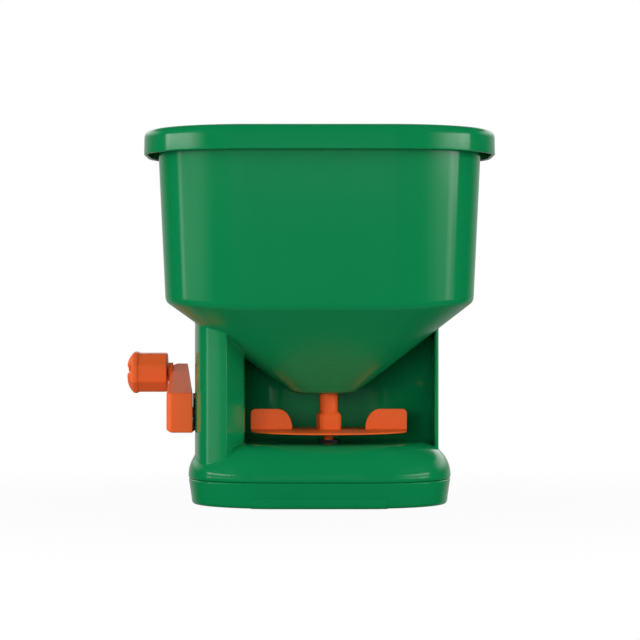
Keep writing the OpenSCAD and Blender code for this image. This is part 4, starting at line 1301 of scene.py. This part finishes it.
class Fasteners(SubAssembly):
    """All cross-recess screws, set by one Geometry Nodes tree."""

    SIZES = ("Head Radius", "Head Height", "Shank Radius", "Shank Length")

    def tree(self) -> bpy.types.NodeTree:
        """Builds the node group that sets a screw on every point."""
        tree = bpy.data.node_groups.new("screws_on_points", "GeometryNodeTree")
        bench = Bench(tree)
        given = {"Points": "Geometry", **dict.fromkeys(self.SIZES, "Float"), "Finish": "Material"}
        for name, kind in given.items():
            tree.interface.new_socket(name, in_out="INPUT", socket_type=f"NodeSocket{kind}")
        tree.interface.new_socket("Screws", in_out="OUTPUT", socket_type="NodeSocketGeometry")
        sockets = bench.node("NodeGroupInput").socket.node.outputs
        points, head_r, head_h, shank_r, shank_l, finish = (Wire(bench, sockets[name]) for name in given)

        def vector(x: Term, y: Term, z: Term) -> Wire:
            """A vector from three numbers."""
            return bench.node("ShaderNodeCombineXYZ", inputs={0: x, 1: y, 2: z})

        def made(kind: str, **inputs: Term) -> Wire:
            """A geometry node with inputs by name."""
            return bench.node(f"GeometryNode{kind}", inputs=inputs)

        def bar(size: Wire, place: Wire) -> Wire:
            """A box of a size at a place."""
            return made("Transform", Geometry=made("MeshCube", Size=size), Translation=place)

        ball = made("MeshUVSphere", Segments=40, Rings=20, Radius=1.0)
        dome = made("Transform", Geometry=ball, Scale=vector(head_r, head_r, head_h))
        below = bar(vector(head_r * 4, head_r * 4, head_h * 4), vector(0.0, 0.0, head_h * -2))
        recess = vector(0.0, 0.0, head_h)
        long, narrow = head_r * 1.15, head_r * 0.26
        cross = [bar(vector(*size, head_h), recess) for size in ((long, narrow), (narrow, long))]
        how = {"operation": "DIFFERENCE", "solver": "EXACT"}
        head = bench.node("GeometryNodeMeshBoolean", how, {"Mesh 1": dome, "Mesh 2": [below, *cross]})
        shank = made("MeshCylinder", Vertices=32, Radius=shank_r, Depth=shank_l)
        sunk = made("Transform", Geometry=shank, Translation=vector(0.0, 0.0, shank_l * -0.5))
        screw = made("JoinGeometry", Geometry=[head, sunk])
        axis = bench.node("GeometryNodeInputNamedAttribute", {"data_type": "FLOAT_VECTOR"}, {"Name": "axis"})
        turn = bench.node("FunctionNodeAlignRotationToVector", {"axis": "Z"}, {"Vector": axis})
        placed = made("InstanceOnPoints", Points=points, Instance=screw, Rotation=turn)
        dressed = made("SetMaterial", Geometry=made("RealizeInstances", Geometry=placed), Material=finish)
        bench.node("NodeGroupOutput", inputs={0: dressed})
        return tree

    def row(self, tree: bpy.types.NodeTree, row: ScrewRow) -> None:
        """Makes one row of screws.

        Args:
            tree: the screws' node group.
            row: what the row holds.
        """
        mesh = bpy.data.meshes.new(row.name)
        mesh.from_pydata([Vector(s) * MM for s in row.seats], [], [])
        for entry in mesh.attributes.new("axis", "FLOAT_VECTOR", "POINT").data:
            entry.vector = row.axis
        piece = linked(row.name, mesh)
        modifier = piece.modifiers.new("screws", "NODES")
        modifier.node_group = tree
        sizes = (row.head[0] / 2, row.head[1], row.shank[0] / 2, row.shank[1])
        values = dict(zip(self.SIZES, (s * MM for s in sizes)))
        values["Finish"] = self.materials[Slot.STEEL]
        for socket in tree.interface.items_tree:
            if socket.name in values:
                modifier[socket.identifier] = values[socket.name]
        self.dress(baked(piece), row.body, Slot.STEEL, row.node, sharp=30)

    def build(self) -> None:
        """Makes every row."""
        tree = self.tree()
        for row in SCREW_ROWS:
            self.row(tree, row)


@dataclass(frozen=True)
class Softbox:
    """A bright panel in the mirrored room, placed by the parts of a unit direction.

    Args:
        side: -1 for the left or 1 for the right.
        front: depth where it starts to show and where it is full.
        back: depth where it starts to fade and where it has ended.
        strip: depth range of its brightest upright strip.
        sill: height where its dim lower part ends and where its bright part is full.
        low_tone: brightness of the lower part.
        high_tone: brightness added above the sill.
        strip_tone: brightness added in the strip.
        strip_blur: width of the strip's soft edges.
        turn: sideways part where it starts to show and where it is full.
        low_band: heights where its lower window starts, is full, starts to fade and has ended.
        high_band: the same for its upper window.
    """

    side: int
    front: Pair
    back: Pair
    strip: Pair
    sill: Pair
    low_tone: float = 0.65
    high_tone: float = 3.3
    strip_tone: float = 0.9
    strip_blur: float = 0.03
    turn: Pair = (0.35, 0.5)
    low_band: Quad = (-0.13, -0.045, 0.0, 0.015)
    high_band: Quad = (0.08, 0.095, 0.125, 0.14)

    def tone(self, across: Wire, depth: Wire, rise: Wire) -> Wire:
        """Brightness in a direction.

        Args:
            across: the direction's X part.
            depth: its Y part.
            rise: its Z part.

        Returns:
            The tone, 0 outside the panel.
        """
        wide = depth.window(*self.front, *self.back) * (across * self.side).step(*self.turn)
        tall = rise.window(*self.low_band) + rise.window(*self.high_band)
        first, last = self.strip
        strip = depth.window(first - self.strip_blur, first, last, last + self.strip_blur)
        bright = self.low_tone + strip * self.strip_tone + rise.step(*self.sill) * self.high_tone
        return wide * tall * bright


@dataclass
class Studio:
    """Camera, pale floor, soft lamps and a room of softboxes that the glossy plastic mirrors."""

    eye: Triple = (0.0003, -1.7, 0.119)
    lens: float = 147.1
    boxes: tuple[Softbox, ...] = (
        Softbox(-1, front=(-0.7, -0.31), back=(0.2, 0.23), strip=(0.12, 0.2), sill=(0.015, 0.035)),
        Softbox(
            1,
            front=(-0.78, -0.25),
            back=(0.1, 0.14),
            strip=(-0.13, -0.02),
            sill=(-0.022, -0.004),
            low_tone=0.58,
        ),
    )
    front_tone: float = 0.25
    back_tone: float = 0.45
    high_back_tone: float = 1.1
    top_tone: float = 0.4
    fill: float = 0.44
    floor_r: float = 12000.0
    floor_white: float = 0.94
    shadow_reach: Pair = (0.12, 0.5)
    aim: Triple = (0.0, 0.0, 0.12)

    def camera(self) -> None:
        """Sets the photograph's view: level, straight along +Y."""
        data = bpy.data.cameras.new("camera")
        data.lens = self.lens
        data.sensor_width = 36.0
        data.clip_end = 50
        view = linked("camera", data)
        view.location = self.eye
        view.rotation_euler = (math.pi / 2, 0, 0)
        bpy.context.scene.camera = view

    def floor(self) -> None:
        """A wide floor that keeps a faint shadow near the object and turns white further out."""
        floor = Form().plate(arc(Vector((0, 0)), self.floor_r, 0, 355, 71), -20, 0).object("floor")
        material, bench, place = blank_material("pale_floor")
        away = bench.node("ShaderNodeVectorMath", {"operation": "LENGTH"}, {0: place}, "Value")
        seen = bench.node("ShaderNodeLightPath", output="Is Camera Ray")
        matte = bench.node("ShaderNodeBsdfDiffuse", inputs={"Color": (0.6, 0.6, 0.6, 1)})
        white = bench.node("ShaderNodeEmission", inputs={"Color": (1, 1, 1, 1), "Strength": 1.0})
        share = seen * (self.floor_white + away.step(*self.shadow_reach) * (1 - self.floor_white))
        surface = bench.node("ShaderNodeMixShader", inputs={0: share, 1: matte, 2: white})
        bench.node("ShaderNodeOutputMaterial", inputs={"Surface": surface})
        floor.data.materials.append(material)
        floor.visible_glossy = False

    def world(self) -> None:
        """White for the camera; for mirrors, a dark room with softboxes and a pale back."""
        world = bpy.data.worlds.new("studio")
        world.use_nodes = True
        bench = Bench(world.node_tree)
        way = bench.node("ShaderNodeTexCoord", output="Generated")
        split = bench.node("ShaderNodeSeparateXYZ", inputs={0: way}).socket.node
        across, depth, rise = (Wire(bench, s) for s in split.outputs)
        path = bench.node("ShaderNodeLightPath").socket.node.outputs
        kinds = ("Camera", "Glossy", "Transmission")
        camera, glossy, through = (Wire(bench, path[f"Is {kind} Ray"]) for kind in kinds)
        front = (1 - depth.step(-0.55, -0.3)) * rise.window(-0.045, -0.035, -0.02, -0.005)
        high_back = rise.window(0.06, 0.25, 0.34, 0.44) * self.high_back_tone
        behind = depth.step(0.58, 1.0) * self.back_tone + depth.step(0.35, 0.7) * high_back
        above = (rise * 0.8 + depth * 0.6).step(0.9, 1.05) * self.top_tone
        room = front * self.front_tone + behind + above
        for box in self.boxes:
            room = room + box.tone(across, depth, rise)
        soft = (1 - glossy) * (1 - through) * self.fill
        tone = camera + (1 - camera) * (through + glossy * room + soft)
        light = bench.node("ShaderNodeBackground", inputs={"Color": tone, "Strength": 1.0})
        bench.node("ShaderNodeOutputWorld", inputs={"Surface": light})
        bpy.context.scene.world = world

    def lamp(self, name: str, place: Triple, size: Pair, power: float) -> None:
        """Adds a soft area lamp that mirrors don't show.

        Args:
            name: its name.
            place: where it hangs; it looks at the object's middle.
            size: width and height.
            power: watts.
        """
        data = bpy.data.lights.new(name, "AREA")
        data.shape = "RECTANGLE"
        data.size, data.size_y = size
        data.energy = power
        lamp = linked(name, data)
        lamp.location = place
        lamp.rotation_euler = (Vector(self.aim) - Vector(place)).to_track_quat("-Z", "Y").to_euler()
        lamp.visible_camera = False
        lamp.visible_glossy = False

    def build(self) -> None:
        """Sets up the studio, with a wide lamp on each side, a low one by the camera and one behind."""
        bpy.context.scene.view_settings.view_transform = "Standard"
        self.camera()
        self.floor()
        self.world()
        self.lamp("left", place=(-2.15, -0.45, 0.7), size=(2.0, 0.8), power=25)
        self.lamp("right", place=(2.15, -0.45, 0.7), size=(2.0, 0.8), power=28)
        self.lamp("front", place=(-0.5, -2.9, 0.3), size=(2.0, 0.5), power=35)
        self.lamp("back", place=(0.5, 2.7, 0.8), size=(2.0, 1.0), power=34)


def dress_frame_nodes(nodes: dict[str, bpy.types.Object], slots: dict[str, str]) -> None:
    """Gives every CAD node its finish.

    Args:
        nodes: the frame's node objects by name.
        slots: each node's material slot.
    """
    for name, node in nodes.items():
        node.data.materials.clear()
        node.data.materials.append(SubAssembly.materials[Slot(slots[name])])
        LOG.info("%s has a solid with %s", name, slots[name])


def main() -> None:
    """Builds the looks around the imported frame."""
    logging.basicConfig(level=logging.INFO, format="%(message)s")
    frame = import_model()
    Studio().build()
    SubAssembly.materials = {finish.slot: finish.make() for finish in FINISHES}
    slots = {s["node"]: s["material_slot"] for s in frame["record"]["subparts"]}
    dress_frame_nodes(frame["nodes"], slots)
    hopper = Hopper()
    for part in (hopper, Housing(hopper), BasePan(), Handle(), Crank(), Spinner(), Gate(), Fasteners()):
        part.build()


if __name__ == "__main__":
    main()
